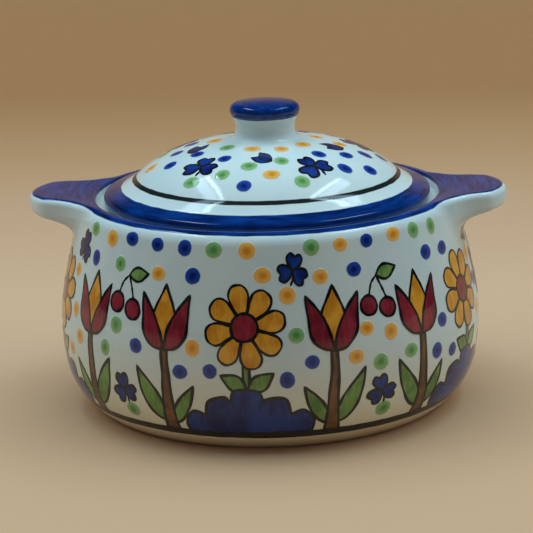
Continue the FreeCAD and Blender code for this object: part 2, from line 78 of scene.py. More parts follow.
# The lid's section.
SEAT_INNER = 84.6
SEAT_OUTER = 89.5
SEAT_ROUND = 0.8
LID_RADIUS = 92.7
LID_EDGE_LOW = 117.0
LID_EDGE_HIGH = 121.6
LID_EDGE_ROUND = 2.7
LID_UNDER_ROUND = 1.4
BAND = (82.9, 124.2)
BAND_ROUND = 14.0
CREASE = (75.0, 129.5)
SHOULDER_CURVE = 71.4
CROWN_CURVE = 168.0
CROWN_HEIGHT = 151.8
LID_WALL = 6.0
INNER_EDGE = (71.1, 125.0)
COLLAR_RADIUS = 16.8
COLLAR_TOP = 157.5
COLLAR_ROUND = 5.6

# The knob's section.
WAIST_CURVE = 9.5
KNOB_WIDE = (19.8, 167.0)
KNOB_EDGE = 3.7
KNOB_TOP = 171.8

# The handles, seen from above and from the side.
LUG_END = 138.4
LUG_END_TOP = 121.8
LUG_END_UNDER = 111.5
LUG_TOP_CURVE = 160.0
LUG_UNDER_CURVE = 60.0
LUG_REACH = 136.0
LUG_CORNER = (120.5, 15.9)
LUG_CORNER_ROUND = 10.0
LUG_TAPER = 17.0
LUG_TOP_ROUND = 3.8
LUG_UNDER_ROUND = 3.4
LUG_TOP_BLEND = 0.5
RIGHT_LUG_ROOT_BLEND = 11.0
LEFT_LUG_ROOT_BLEND = 7.5
LUG_SIDE_BLEND = 13.0
LUG_SIDE_FULL = 2.0
ROOT_BLEND_TOP = 113.0
ROOT_BLEND_DEPTH = 6.0

# The skin of a handle, on rays from the heart of the rim's clay; their angles are in degrees.
HEART = (100.0, 116.0)
SHORTEST_RAY = 2.0
LONGEST_RAY = 48.0
FIRST_RAY = 96
LAST_RAY = -61
HALF_SPREAD = 29
LUG_ROWS = 96
LUG_COLUMNS = 108
SKIN_SINK = 0.06
SKIN_DEPTH = 1.6

# How many steps each turned piece has round the wheel.
POT_STEPS = 288
LID_STEPS = 256
KNOB_STEPS = 128

# Where the brush stopped, as points on the sections.
RIM_PAINT_OUTSIDE = (104.3, 118.4)
RIM_PAINT_INSIDE = (97.3, 117.6)
RIGHT_LUG_PAINT_INSET = 2.2
LEFT_LUG_PAINT_INSET = 1.6
LID_PAINT_INSIDE = (82.3, 124.6)
LID_PAINT_OUTSIDE = (90.9, 115.6)
FOOT_LINE_LOW = 8.3
FOOT_LINE_HIGH = 13.0
LID_LINE_OUT = 1.6
LID_LINE_IN = 1.7
KNOB_PAINT_HEIGHT = 163.4
NO_PAINT = -50.0

# The relief of the painted shapes, in millimetres above the clay.
PAINT_SINK = 0.25
FIRST_COAT = 0.07
NEXT_COAT = 0.04
LINE_RISE = 0.015
LINE_DOME = 0.008
FILL_STEP = 2.5
FILL_MARGIN = 0.45
ROW_SPACING = 0.87
STROKE_STEP = 1.0
STROKE_END = 0.12
STROKE_SWELL = 0.16
STROKE_RIPPLE = 0.1
LINE_WIDTH = 1.6
STEM_LINE = 1.5
FINE_LINE = 1.4
THIN_LINE = 1.3

# The painted shapes as points in millimetres, up from their foot; a third value marks a corner.
SHAPE_FOOT = FOOT_LINE_HIGH - 0.8
TULIP_LEAF = ((0, 0, 1), (5, 6), (6.5, 14), (5, 23), (1, 33, 1), (-2, 22), (-2.5, 12))
TULIP_STEM = ((-4.4, 0, 1), (4.4, 0, 1), (3.0, 12), (2.4, 30), (2.8, 50, 1), (-0.6, 50, 1),
              (-2.0, 30), (-3.2, 12))
TULIP_HEART = ((0, 2, 1), (6.0, 10), (6.2, 20), (0.4, 34, 1), (-6.2, 20), (-6.0, 10))
TULIP_PETAL = ((0, 0, 1), (7.4, 1.5), (13, 8), (14, 18), (15, 29, 1), (8, 21), (2.6, 11))
MOUND = ((-35, 0, 1), (35, 0, 1), (36, 8), (30, 14), (23, 12, 1), (20, 21), (9.5, 21),
         (9, 18.5, 1), (5, 26), (-7, 26), (-10, 18.5, 1), (-13, 22), (-22, 19.5), (-24, 11, 1),
         (-31, 13), (-36, 6))
DAISY_STEM = ((-2.2, 20, 1), (1.8, 20, 1), (1.5, 34), (1.8, 50, 1), (-1.6, 50, 1), (-2.0, 34))
DAISY_PETAL = ((-1.6, 5, 1), (1.6, 5, 1), (5.0, 13), (5.3, 18), (2.8, 21.5), (-2.4, 21.8),
               (-5.5, 18), (-4.8, 13))
SMALL_LEAF = ((0, 0, 1), (3.2, 4), (3.6, 8), (0, 14, 1), (-3.2, 8), (-3, 4))
CLOVER_LEAF = ((0, 0, 1), (3.6, 3.2), (5.0, 6.8), (3.2, 9.6), (0, 8.2, 1), (-3.2, 9.6),
               (-5.0, 6.8), (-3.6, 3.2))
CLOVER_STALK = ((0, 0), (1, -4), (0, -9))

# How the painted shapes repeat round the pot and the lid, and the dots between them.
POT_COPIES = 5
POT_FIRST_TURN = math.radians(-93)
BELLY_RING = 120.0
LID_COPIES = 5
LID_FIRST_TURN = math.radians(-64)
LID_RING = 50.0
HAND_WOBBLE = 2.4
SWAY_SCALE = 42.0
RAY_START = 0.4
DOT_MARGIN = 5.2
DOT_SPACING = 15.2
DOT_RADIUS = 4.9
DOT_THICKNESS = 0.14
DOT_SINK = 0.15
DOT_SEGMENTS = 22
DOT_RINGS = 6
DOT_SMALLEST = (0.86, 0.86, 1.0)
DOT_LARGEST = (1.1, 1.1, 1.0)
DOT_DENSITY = 200000.0
POT_DOT_SEED = 7
LID_DOT_SEED = 4
LUG_SHADE_HEIGHT = 90
LUG_SHADE_TURN = 25
COLLAR_MARGIN = 9
DOME_SLOPE = 0.3

# The glazes and the paints.
WHITE_GLAZE = colour(208, 222, 221)
WHITE_POOL = colour(198, 216, 219)
# Painted warm light from the floor, which the white glaze takes on towards the foot.
FLOOR_BOUNCE_TINT = colour(229, 226, 203)
FOOT_GLAZE = colour(232, 214, 178)
BUFF_CLAY = colour(196, 170, 138)
BLUE_PAINT = colour(12, 58, 130)
BLUE_DEEP = colour(6, 27, 78)
BLACK_PAINT = colour(36, 38, 38)
PAINTS = {
    "ochre": (colour(226, 164, 58), colour(196, 126, 34)),
    "maroon": (colour(150, 50, 62), colour(112, 30, 44)),
    "leaf_green": (colour(124, 160, 88), colour(84, 124, 58)),
    "bark_brown": (colour(128, 86, 52), colour(78, 50, 32)),
    "cobalt": (colour(32, 62, 140), colour(14, 30, 92)),
    "ink": (colour(40, 40, 40), colour(20, 21, 24)),
}
DOT_PAINTS = (
    (0.0, colour(34, 68, 152), colour(14, 32, 104)),
    (0.34, colour(132, 178, 116), colour(82, 138, 74)),
    (0.66, colour(236, 176, 84), colour(214, 136, 40)),
)
GLAZE_IOR = 1.52
GLAZE_ROUGHNESS = 0.06
CLOUD_ROUGHNESS = 0.05
CLAY_ROUGHNESS = 0.6
SKIN_STRENGTH = 0.25
SKIN_RELIEF = 0.4
PAPER_GLOSS = 0.1
PAPER_ROUGHNESS = 0.9

# The patterns in them: waves per metre, shares, and where one tone gives way to the next.
CLOUD_SCALE = 28.0
SKIN_SCALE = 60.0
POOL_SCALE = 75.0
EDGE_SCALE = 95.0
BLOT_SCALE = 260.0
STREAK_SCALE = 420.0
BRUSH_STRETCH = (520.0, 520.0, 90.0)
WHEEL_STREAK = 0.012
POOL_SHARE = 0.65
HAIR_SHARE = 0.35
STREAK_SHARE = 0.7
CLOUD_SHARE = 0.3
EDGE_WAVER = 1.1
LINE_WAVER = 0.8
DOT_WAVER = 0.5
DOT_EDGE_WAVER = 0.35
CLOUD_TONES = (0.35, 0.75)
PAINT_TONES = (0.36, 0.64)
BLUE_TONES = (0.3, 0.7)
DOT_TONES = (0.1, 0.7)
DOT_EDGE = (0.8, 0.97)
BLUE_EDGE = (-0.25, 0.45)
LINE_EDGE = (-0.15, 0.35)
# Where the painted floor light on the white glaze begins and where it is full.
FLOOR_BOUNCE_HEIGHTS = (64 * MM, 12 * MM)
FOOT_HEIGHTS = (11 * MM, 5 * MM)
BARE_HEIGHTS = (1.4 * MM, 0.9 * MM)
BARE_RADII = (86.5 * MM, 87.5 * MM)

# The camera, fitted to the photograph, with its angles in degrees.
CAMERA_DISTANCE = 1.300
CAMERA_TILT = 14.56
CAMERA_SWING = 3.37
CAMERA_ROLL = -1.64
CAMERA_AIM = Vector((-1.477, -0.087, 75.0)) * MM
FOCAL_PIXELS = 2263.17
PICTURE_PIXELS = 533.0
SENSOR_WIDTH = 36.0

# The paper sweep, in metres, and its colours from the front to the top; the far floor, the back
# and the top are darkened as painted shade.
SWEEP_FRONT = -2.6
SWEEP_SIDE = 2.5
BEND_START = 0.38
BEND_RADIUS = 0.10
BACK_LEAN = 4.0
BACK_HEIGHT = 0.31
PAPER_FLOOR = colour(206, 167, 132)
PAPER_FAR_SHADE = colour(199, 163, 131)
PAPER_BACK_SHADE = colour(202, 159, 115)
PAPER_TOP_SHADE = colour(30, 24, 18)
FAR_DEPTHS = (-0.06, 0.10)
BACK_HEIGHTS = (-0.01, 0.075)
SHADE_HEIGHTS = (0.165, 0.41)

# The lamps, in metres and watts; a window has its side, its way out and its turn in degrees.
CEILING_TINT = (0.71, 0.92, 1.0)
CEILING_PLACE = (0.45, 0.27, 1.25)
CEILING_SIZE = (6.0, 1.6)
CEILING_POWER = 54.0
WINDOW_TINT = (0.60, 0.84, 1.0)
WINDOW_SIZE = (0.048, 0.68)
WINDOW_POWER = 1.0
HAZE_TINT = (0.60, 0.80, 1.0)
HAZE_SIZE = (0.12, 0.66)
HAZE_POWER = 1.1
HAZE_GAP = 0.105
WINDOW_DEPTH = 0.275
HAZE_DEPTH = 0.29
WINDOW_HEIGHT = 1.15
WINDOWS = ((-1, 0.425, 6.0), (1, 0.472, 12.5))
ROOM_TINT = (0.80, 0.88, 1.0, 1.0)
ROOM_LIGHT = 0.18


def angle_to(centre, target):
    """The angle in degrees at which a target lies from a centre."""
    return math.degrees(math.atan2(target[1] - centre[1], target[0] - centre[0]))


def polar(centre, radius, angle):
    """The point at a distance and an angle in degrees from a centre."""
    return (centre[0] + radius * math.cos(math.radians(angle)),
            centre[1] + radius * math.sin(math.radians(angle)))


def touch_angle(centre, radius, target):
    """The angle at which a line that leans in from above a target touches a circle."""
    reach = math.dist(centre, target)
    return angle_to(centre, target) - math.degrees(math.acos(radius / reach))


def circles_meet(centre_a, radius_a, centre_b, radius_b):
    """Where two circles cross, on the left of the way from a to b."""
    dx, dy = centre_b[0] - centre_a[0], centre_b[1] - centre_a[1]
    gap = math.hypot(dx, dy)
    along = (radius_a ** 2 - radius_b ** 2 + gap ** 2) / (2 * gap)
    across = math.sqrt(radius_a ** 2 - along ** 2)
    return (centre_a[0] + (along * dx - across * dy) / gap,
            centre_a[1] + (along * dy + across * dx) / gap)


def ring(middle, radius, count=12):
    """Points on a circle."""
    return [polar(middle, radius, 360 * i / count) for i in range(count)]


class Section:
    """Half of a turned piece's outline, drawn from point to point as radius and height."""

    def __init__(self, start):
        self.points = [start]

    def line(self, end, step=4.0):
        start = self.points[-1]
        pieces = max(1, round(math.dist(start, end) / step))
        for part in range(1, pieces + 1):
            share = part / pieces
            self.points.append((start[0] + (end[0] - start[0]) * share,
                                start[1] + (end[1] - start[1]) * share))

    def arc(self, centre, radius, first, last, step=2.0):
        """An arc between two angles in degrees; it joins the last point with a line."""
        start = polar(centre, radius, first)
        if math.dist(start, self.points[-1]) > 0.01:
            self.line(start)
        pieces = max(4, round(abs(math.radians(last - first)) * radius / step))
        for part in range(1, pieces + 1):
            self.points.append(polar(centre, radius, first + (last - first) * part / pieces))

    def rounded(self, corner, target, radius, step):
        """A line to a corner, which is rounded towards the next target."""
        start = self.points[-1]
        way_in = np.subtract(corner, start) / math.dist(corner, start)
        way_out = np.subtract(target, corner) / math.dist(target, corner)
        turn = math.acos(max(-1.0, min(1.0, float(way_in @ way_out))))
        first = np.subtract(corner, way_in * (radius * math.tan(turn / 2)))
        side = 1 if way_in[0] * way_out[1] - way_in[1] * way_out[0] > 0 else -1
        centre = tuple(first + np.array((-way_in[1], way_in[0])) * side * radius)
        begin = angle_to(centre, first)
        self.line(tuple(first))
        self.arc(centre, radius, begin, begin + math.degrees(turn) * side, step)

    def bends(self, end, *corners):
        """Lines through corners towards an end; each has its place, rounding and step."""
        targets = [corner[0] for corner in corners[1:]] + [end]
        for (corner, radius, step), target in zip(corners, targets):
            self.rounded(corner, target, radius, step)

    def heights(self):
        return np.array(self.points)[:, 1]

    def lengths(self):
        steps = np.hypot(*np.diff(np.array(self.points), axis=0).T)
        return np.concatenate(([0.0], np.cumsum(steps)))

    def length_at(self, target):
        """How far along the section its nearest point to a target lies."""
        away = np.hypot(*(np.array(self.points) - target).T)
        return float(self.lengths()[int(np.argmin(away))])

    def inside_band(self, first, last):
        """For each point, how far it is inside a painted band between two points."""
        lengths = self.lengths()
        return np.minimum(lengths - self.length_at(first), self.length_at(last) - lengths)


def wall_lean():
    """The angle at which the wall above the belly leans in towards the rim."""
    return touch_angle(BELLY, BELLY_RADIUS, RIM)


def rim_centre():
    """The centre of the rim's outer rounding, which touches the wall and the top."""
    outward = polar((0, 0), 1, wall_lean())
    return (RIM[0] - RIM_OUTER_ROUND * (1 - outward[1]) / outward[0], RIM[1] - RIM_OUTER_ROUND)


def inside_of_pot():
    """From the middle of the floor, up the wall and over the ledge, to the top of the rim."""
    inner = BELLY_RADIUS - WALL
    rise = FLOOR_HEIGHT + CORNER_RADIUS - BELLY_HEIGHT
    turn_in = (math.sqrt((inner - CORNER_RADIUS) ** 2 - rise ** 2), FLOOR_HEIGHT + CORNER_RADIUS)
    corner_end = angle_to(BELLY, turn_in)
    section = Section((0.0, FLOOR_HEIGHT))
    section.line((turn_in[0], FLOOR_HEIGHT), step=9.0)
    section.arc(turn_in, CORNER_RADIUS, -90, corner_end, step=3.0)
    section.arc(BELLY, inner, corner_end, touch_angle(BELLY, inner, NECK), step=5.0)
    section.bends((MOUTH_RADIUS, RIM[1]),
                  (NECK, NECK_ROUND, 1.0),
                  ((THROAT_RADIUS, THROAT_HEIGHT), THROAT_UNDER_ROUND, 0.5),
                  ((THROAT_RADIUS, LEDGE_HEIGHT), THROAT_ROUND, 0.5),
                  ((MOUTH_RADIUS, LEDGE_HEIGHT), LEDGE_ROUND, 0.5))
    rim_inside = (MOUTH_RADIUS + RIM_INNER_ROUND, RIM[1] - RIM_INNER_ROUND)
    section.arc(rim_inside, RIM_INNER_ROUND, 180, 90, step=0.4)
    return section


def pot_section():
    """From the middle of the floor inside, over the rim, to the middle of the foot."""
    section = inside_of_pot()
    lean = wall_lean()
    section.arc(rim_centre(), RIM_OUTER_ROUND, 90, lean, step=0.4)
    section.line(polar(BELLY, BELLY_RADIUS, lean), step=2.5)
    drop = HIP_HEIGHT - BELLY_HEIGHT
    hip = (math.sqrt(BELLY_RADIUS ** 2 - drop ** 2), HIP_HEIGHT)
    hip_angle = angle_to(BELLY, hip)
    section.arc(BELLY, BELLY_RADIUS, lean, hip_angle, step=2.5)
    way = np.subtract(hip, (FOOT_RADIUS, 0.0))
    lower_radius = float(way @ way / (2 * way @ np.array(polar((0, 0), 1, hip_angle))))
    lower = polar(hip, -lower_radius, hip_angle)
    inset = lower_radius - FOOT_ROUND
    sink = FOOT_ROUND - lower[1]
    foot = (lower[0] + math.sqrt(inset ** 2 - sink ** 2), FOOT_ROUND)
    foot_angle = angle_to(lower, foot)
    section.arc(lower, lower_radius, hip_angle, foot_angle, step=1.5)
    section.arc(foot, FOOT_ROUND, foot_angle, -90, step=0.5)
    section.bends((0.0, FOOT_RECESS),
                  ((FOOT_INNER, 0.0), FOOT_INNER_ROUND, 0.5),
                  ((FOOT_INNER, FOOT_RECESS), FOOT_INNER_ROUND, 0.5))
    section.line((0.0, FOOT_RECESS), step=9.0)
    return section


def lid_section():
    """From the top of the collar, down the dome and round the edge, to the middle inside."""
    crown = (0.0, CROWN_HEIGHT - CROWN_CURVE)
    shoulder = circles_meet(crown, CROWN_CURVE - SHOULDER_CURVE, CREASE, SHOULDER_CURVE)
    meet, crease_angle = angle_to(crown, shoulder), angle_to(shoulder, CREASE)
    fillet_radius = COLLAR_RADIUS + COLLAR_ROUND
    reach = CROWN_CURVE + COLLAR_ROUND
    fillet = (fillet_radius, crown[1] + math.sqrt(reach ** 2 - fillet_radius ** 2))
    fillet_angle = angle_to(fillet, crown) + 360
    section = Section((0.0, COLLAR_TOP))
    section.line((COLLAR_RADIUS, COLLAR_TOP))
    section.arc(fillet, COLLAR_ROUND, 180, fillet_angle, step=0.6)
    section.arc(crown, CROWN_CURVE, fillet_angle - 180, meet, step=2.0)
    section.arc(shoulder, SHOULDER_CURVE, meet, crease_angle, step=1.2)
    section.bends(INNER_EDGE,
                  (BAND, BAND_ROUND, 0.6),
                  ((LID_RADIUS, LID_EDGE_HIGH), LID_EDGE_ROUND, 0.4),
                  ((LID_RADIUS, LID_EDGE_LOW), LID_UNDER_ROUND, 0.5),
                  ((SEAT_OUTER, LEDGE_HEIGHT), SEAT_ROUND, 0.5),
                  ((SEAT_INNER, LEDGE_HEIGHT), SEAT_ROUND, 0.5))
    section.line(INNER_EDGE)
    section.arc(shoulder, SHOULDER_CURVE - LID_WALL, crease_angle, meet, step=4.0)
    section.arc(crown, CROWN_CURVE - LID_WALL, meet, 90, step=6.0)
    return section


def knob_section():
    """From the middle of the top, round the edge and down the waist, to the joint."""
    foot = (COLLAR_RADIUS, COLLAR_TOP)
    rise, swell = KNOB_WIDE[1] - foot[1], KNOB_WIDE[0] - foot[0]
    flank_radius = (rise ** 2 + swell ** 2) / (2 * swell) - WAIST_CURVE
    waist = (foot[0] + WAIST_CURVE, foot[1])
    flank = (KNOB_WIDE[0] - flank_radius, KNOB_WIDE[1])
    meet = angle_to(flank, waist)
    edge = (KNOB_WIDE[0] - KNOB_EDGE, KNOB_WIDE[1])
    height = KNOB_TOP - edge[1]
    crown_radius = (height ** 2 + edge[0] ** 2 - KNOB_EDGE ** 2) / (2 * (height - KNOB_EDGE))
    crown = (0.0, KNOB_TOP - crown_radius)
    crown_angle = angle_to(crown, edge)
    section = Section((0.0, KNOB_TOP))
    section.arc(crown, crown_radius, 90, crown_angle, step=1.2)
    section.arc(edge, KNOB_EDGE, crown_angle, 0, step=0.4)
    section.arc(flank, flank_radius, 0, meet, step=0.5)
    section.arc(waist, WAIST_CURVE, 180 + meet, 180, step=0.5)
    section.line((0.0, COLLAR_TOP))
    return section


class Wire:
    """An output of a node, which can be reckoned with: + - * / each add a node."""

    def __init__(self, tree, node, output=0):
        self.tree, self.node, self.output = tree, node, output

    def __getitem__(self, output):
        return Wire(self.tree, self.node, output)

    def socket(self):
        return self.node.outputs[self.output]

    def step(self, operation, *others):
        """One step of arithmetic on numbers, which starts from this one."""
        return self.tree.add("ShaderNodeMath", enumerate((self,) + others), operation=operation)

    def __add__(self, other):
        return self.step("ADD", other)

    def __sub__(self, other):
        return self.step("SUBTRACT", other)

    def __mul__(self, other):
        return self.step("MULTIPLY", other)

    def __truediv__(self, other):
        return self.step("DIVIDE", other)


class Tree:
    """A node tree, with short ways to add the nodes that come up often."""

    def __init__(self, group):
        self.group = group

    def add(self, kind, values=(), **settings):
        """A node with its settings, and its inputs as values or wires, by name or position."""
        node = self.group.nodes.new(kind)
        for name, value in settings.items():
            setattr(node, name, value)
        for key, value in dict(values).items():
            if isinstance(value, Wire):
                self.group.links.new(value.socket(), node.inputs[key])
            else:
                node.inputs[key].default_value = value
        return Wire(self, node)

    def split(self, vector):
        return self.add("ShaderNodeSeparateXYZ", {0: vector})

    def scaled(self, vector, factor):
        return self.add("ShaderNodeVectorMath", {0: vector, "Scale": factor}, operation="SCALE")

    def moved(self, place, offset):
        return self.add("ShaderNodeVectorMath", {0: place, 1: offset}, operation="ADD")

    def noise(self, vector, scale, detail=2.0):
        """Smooth noise between about 0 and 1; the scale is in waves per metre."""
        return self.add("ShaderNodeTexNoise", {"Vector": vector, "Scale": scale,
                                               "Detail": detail})


class Tool(Tree):
    """A Geometry Nodes tree: named sizes and a finish go in, a finished shape comes out."""

    def __init__(self, name, *inputs):
        super().__init__(bpy.data.node_groups.new(name, "GeometryNodeTree"))
        for label, kind in (("Geometry", "Geometry"), *inputs, ("Finish", "Material")):
            self.group.interface.new_socket(label, in_out="INPUT",
                                            socket_type="NodeSocket" + kind)
        self.group.interface.new_socket("Geometry", in_out="OUTPUT",
                                        socket_type="NodeSocketGeometry")
        self.given = self.add("NodeGroupInput")
        self.place = self.add("GeometryNodeInputPosition")

    def read(self, name):
        return self.add("GeometryNodeInputNamedAttribute", {"Name": name}, data_type="FLOAT")

    def store(self, geometry, name, value, domain="POINT"):
        return self.add("GeometryNodeStoreNamedAttribute",
                        {"Geometry": geometry, "Name": name, "Value": value},
                        data_type="FLOAT", domain=domain)

    def put(self, geometry, place):
        return self.add("GeometryNodeSetPosition", {"Geometry": geometry, "Position": place})

    def real(self, geometry):
        return self.add("GeometryNodeRealizeInstances", {"Geometry": geometry})

    def end(self, geometry):
        """Smooth faces, real geometry and the finish."""
        smooth = self.add("GeometryNodeSetShadeSmooth", {"Geometry": geometry})
        finished = self.add("GeometryNodeSetMaterial", {"Geometry": self.real(smooth),
                                                        "Material": self.given["Finish"]})
        self.add("NodeGroupOutput", {"Geometry": finished})

    def run(self, name, mesh, values, sharp_angle=None):
        """Puts a mesh through the tree and keeps the result as a plain mesh object."""
        source = new_object(name + "_source", mesh)
        modifier = source.modifiers.new(self.group.name, "NODES")
        modifier.node_group = self.group
        sockets = {item.name: item.identifier for item in self.group.interface.items_tree
                   if item.in_out == "INPUT"}
        for label, value in values.items():
            modifier[sockets[label]] = value
        depsgraph = bpy.context.evaluated_depsgraph_get()
        made = bpy.data.meshes.new_from_object(source.evaluated_get(depsgraph),
                                               depsgraph=depsgraph)
        source.modifiers.remove(modifier)
        bpy.data.objects.remove(source)
        made.name = name
        if sharp_angle is not None:
            made.set_sharp_from_angle(angle=math.radians(sharp_angle))
        return new_object(name, made)


def new_object(name, data):
    """An object in the scene for a mesh, a lamp or a camera."""
    made = bpy.data.objects.new(name, data)
    bpy.context.scene.collection.objects.link(made)
    return made


def new_mesh(name, points, edges, faces, **marks):
    """A mesh with a number for each point under the name of each mark."""
    mesh = bpy.data.meshes.new(name)
    mesh.from_pydata(points, edges, faces)
    for mark, values in marks.items():
        mesh.attributes.new(mark, "FLOAT", "POINT").data.foreach_set("value", list(values))
    return mesh


def make_wheel():
    """Turns a section round the axis, as on the potter's wheel."""
    tree = Tool("turned_on_the_wheel", ("Steps round", "Int"))
    section = tree.given["Geometry"]
    count = tree.add("GeometryNodeAttributeDomainSize", {"Geometry": section})
    sheet = tree.add("GeometryNodeMeshGrid", {"Size X": 1.0, "Size Y": 1.0, "Vertices X": count,
                                              "Vertices Y": tree.given["Steps round"] + 1.0})
    split = tree.split(tree.place)
    row = ((split[0] + 0.5) * (count - 1.0)).step("ROUND")

    def on_section(value, kind):
        return tree.add("GeometryNodeSampleIndex",
                        {"Geometry": section, "Value": value, "Index": row},
                        data_type=kind, clamp=True)

    turned = tree.add("ShaderNodeVectorRotate", {"Vector": on_section(tree.place, "FLOAT_VECTOR"),
                                                 "Angle": (split[1] + 0.5) * FULL_TURN},
                      rotation_type="Z_AXIS")
    geometry = sheet["Mesh"]
    for band in ("blue_band", "black_line"):
        geometry = tree.store(geometry, band, on_section(tree.read(band), "FLOAT"))
    tree.end(tree.add("GeometryNodeMergeByDistance",
                      {"Geometry": tree.put(geometry, turned), "Distance": 0.001 * MM}))
    return tree


def turned_piece(name, section, wheel, steps, finish, blue_band, black_line):
    """A turned piece from its section, with its painted bands as attributes."""
    points = [(radius * MM, 0.0, height * MM) for radius, height in section.points]
    edges = [(i, i + 1) for i in range(len(points) - 1)]
    mesh = new_mesh(name + "_section", points, edges, [],
                    blue_band=blue_band, black_line=black_line)
    return wheel.run(name, mesh, {"Steps round": steps, "Finish": finish}, sharp_angle=50)


class Stencil:
    """Flat painted shapes in millimetres, one set for each paint: x runs round the pot."""

    def __init__(self):
        self.points = {}
        self.faces = {}
        self.outlines = []

    def slab(self, paint, top, lifts, faces):
        """A thin closed slab from a flat shape: its top at the lifts, its base in the clay."""
        points = self.points.setdefault(paint, [])
        start, count = len(points), len(top)
        points.extend((x * MM, y * MM, lift * MM) for (x, y), lift in zip(top, lifts))
        points.extend((x * MM, y * MM, -PAINT_SINK * MM) for x, y in top)
        made = self.faces.setdefault(paint, [])
        made.extend([start + i for i in face] for face in closed_skin(faces, count))

    def fill(self, paint, outline, lift):
        """A filled shape, with points inside it so that it can follow the belly."""
        self.outlines.append(outline)
        count = len(outline)
        inner = points_inside(outline, FILL_STEP, FILL_STEP * FILL_MARGIN)
        result = delaunay_2d_cdt([Vector(point) for point in outline.tolist() + inner],
                                 [(i, (i + 1) % count) for i in range(count)],
                                 [list(range(count))], 1, 1e-4)
        top = [tuple(point) for point in result[0]]
        self.slab(paint, top, [lift] * len(top), [list(face) for face in result[2]])

    def stroke(self, paint, path, width, lift, closed=False):
        """A brush stroke along a path, a little domed and uneven, tapered where it ends."""
        count = len(path)
        ahead = np.roll(path, -1, axis=0) - np.roll(path, 1, axis=0)
        if not closed:
            ahead[0] = path[1] - path[0]
            ahead[-1] = path[-1] - path[-2]
        ahead /= np.hypot(*ahead.T)[:, None]
        side = np.stack((-ahead[:, 1], ahead[:, 0]), axis=1)
        turns = np.linspace(0, FULL_TURN, count, endpoint=not closed)
        # Where a stroke starts makes it uneven in its own way.
        phase = float(path[0] @ (0.7, 1.3))
        half = width / 2 * (1 + STROKE_SWELL * np.sin(3 * turns + phase)
                            + STROKE_RIPPLE * np.sin(7 * turns - phase))
        if not closed:
            ends = np.minimum(np.arange(count), np.arange(count)[::-1]) * STROKE_STEP
            half = half * np.sqrt(between(STROKE_END, ends / width, 1.0))
        left, right = path + side * half[:, None], path - side * half[:, None]
        top = [tuple(point) for point in np.concatenate((left, path, right))]
        lifts = [lift] * count + [lift + LINE_DOME] * count + [lift] * count
        faces = []
        for i in range(count if closed else count - 1):
            j = (i + 1) % count
            faces.append([i, count + i, count + j, j])
            faces.append([count + i, 2 * count + i, 2 * count + j, count + j])
        self.slab(paint, top, lifts, faces)

    def shape(self, paint, points, coat=0, width=LINE_WIDTH):
        """A filled shape through points with a black line round it, over the coats before it."""
        outline, lift = drawn(points), FIRST_COAT + NEXT_COAT * coat
        self.fill(paint, outline, lift)
        self.stroke("ink", outline, width, lift + LINE_RISE, closed=True)


def rim_loops(faces):
    """The closed loops of edges that only one face uses, in the faces' own direction."""
    ways = {(a, b) for face in faces for a, b in zip(face, face[1:] + face[:1])}
    after = {a: b for a, b in ways if (b, a) not in ways}
    loops = []
    while after:
        start, point = after.popitem()
        loop = [start]
        while point != start:
            loop.append(point)
            point = after.pop(point)
        loops.append(loop)
    return loops


def closed_skin(faces, count):
    """A sheet of faces, the same sheet behind it with points numbered on, and its edges."""
    skin = []
    for face in faces:
        skin.append(face)
        skin.append([count + i for i in reversed(face)])
    for loop in rim_loops(faces):
        for a, b in zip(loop, loop[1:] + loop[:1]):
            skin.append([b, a, count + a, count + b])
    return skin


def is_inside(outline, x, y):
    """Whether points lie inside a closed outline."""
    inside = np.zeros(np.shape(x), dtype=bool)
    for (ax, ay), (bx, by) in zip(outline, np.roll(outline, -1, axis=0)):
        if ay != by:
            inside ^= ((ay > y) != (by > y)) & (x < (bx - ax) * (y - ay) / (by - ay) + ax)
    return inside


def nearest(outline, x, y):
    """How far points lie from an outline's own points."""
    away = np.full(np.shape(x), np.inf)
    for px, py in outline:
        away = np.minimum(away, (x - px) ** 2 + (y - py) ** 2)
    return np.sqrt(away)


def points_inside(outline, step, margin):
    """Points in staggered rows inside an outline, with a margin along its edge."""
    low, high = outline.min(axis=0), outline.max(axis=0)
    x, y = np.meshgrid(np.arange(low[0] + step / 2, high[0], step),
                       np.arange(low[1] + step / 2, high[1], step * ROW_SPACING))
    x[1::2] += step / 2
    keep = is_inside(outline, x, y) & (nearest(outline, x, y) > margin)
    return np.stack((x[keep], y[keep]), axis=1).tolist()


def drawn(points, closed=True):
    """A smooth line through points; a third value marks a point as a corner."""
    count = len(points)
    spots = np.array([point[:2] for point in points], dtype=float)
    sharp = [len(point) > 2 for point in points]
    if not closed:
        sharp[0] = sharp[-1] = True
    line = []
    for i in range(count if closed else count - 1):
        j = (i + 1) % count
        start, end = spots[i], spots[j]
        lead = (end - start) if sharp[i] else (end - spots[i - 1]) / 2
        trail = (end - start) if sharp[j] else (spots[(j + 1) % count] - start) / 2
        pieces = max(2, round(math.dist(start, end) / STROKE_STEP))
        for part in range(pieces):
            t = part / pieces
            line.append(start * (2 * t ** 3 - 3 * t ** 2 + 1) + lead * (t ** 3 - 2 * t ** 2 + t)
                        + end * (3 * t ** 2 - 2 * t ** 3) + trail * (t ** 3 - t ** 2))
    if not closed:
        line.append(spots[-1])
    return np.array(line)


def placed(points, middle, turn=0.0, size=1.0, flip=False):
    """Points of a small shape, turned, sized and moved to its place."""
    turn = math.radians(turn)
    moved = []
    for point in reversed(points) if flip else points:
        x, y = point[0] * (-size if flip else size), point[1] * size
        moved.append((middle[0] + x * math.cos(turn) - y * math.sin(turn),
                      middle[1] + x * math.sin(turn) + y * math.cos(turn)) + tuple(point[2:]))
    return moved


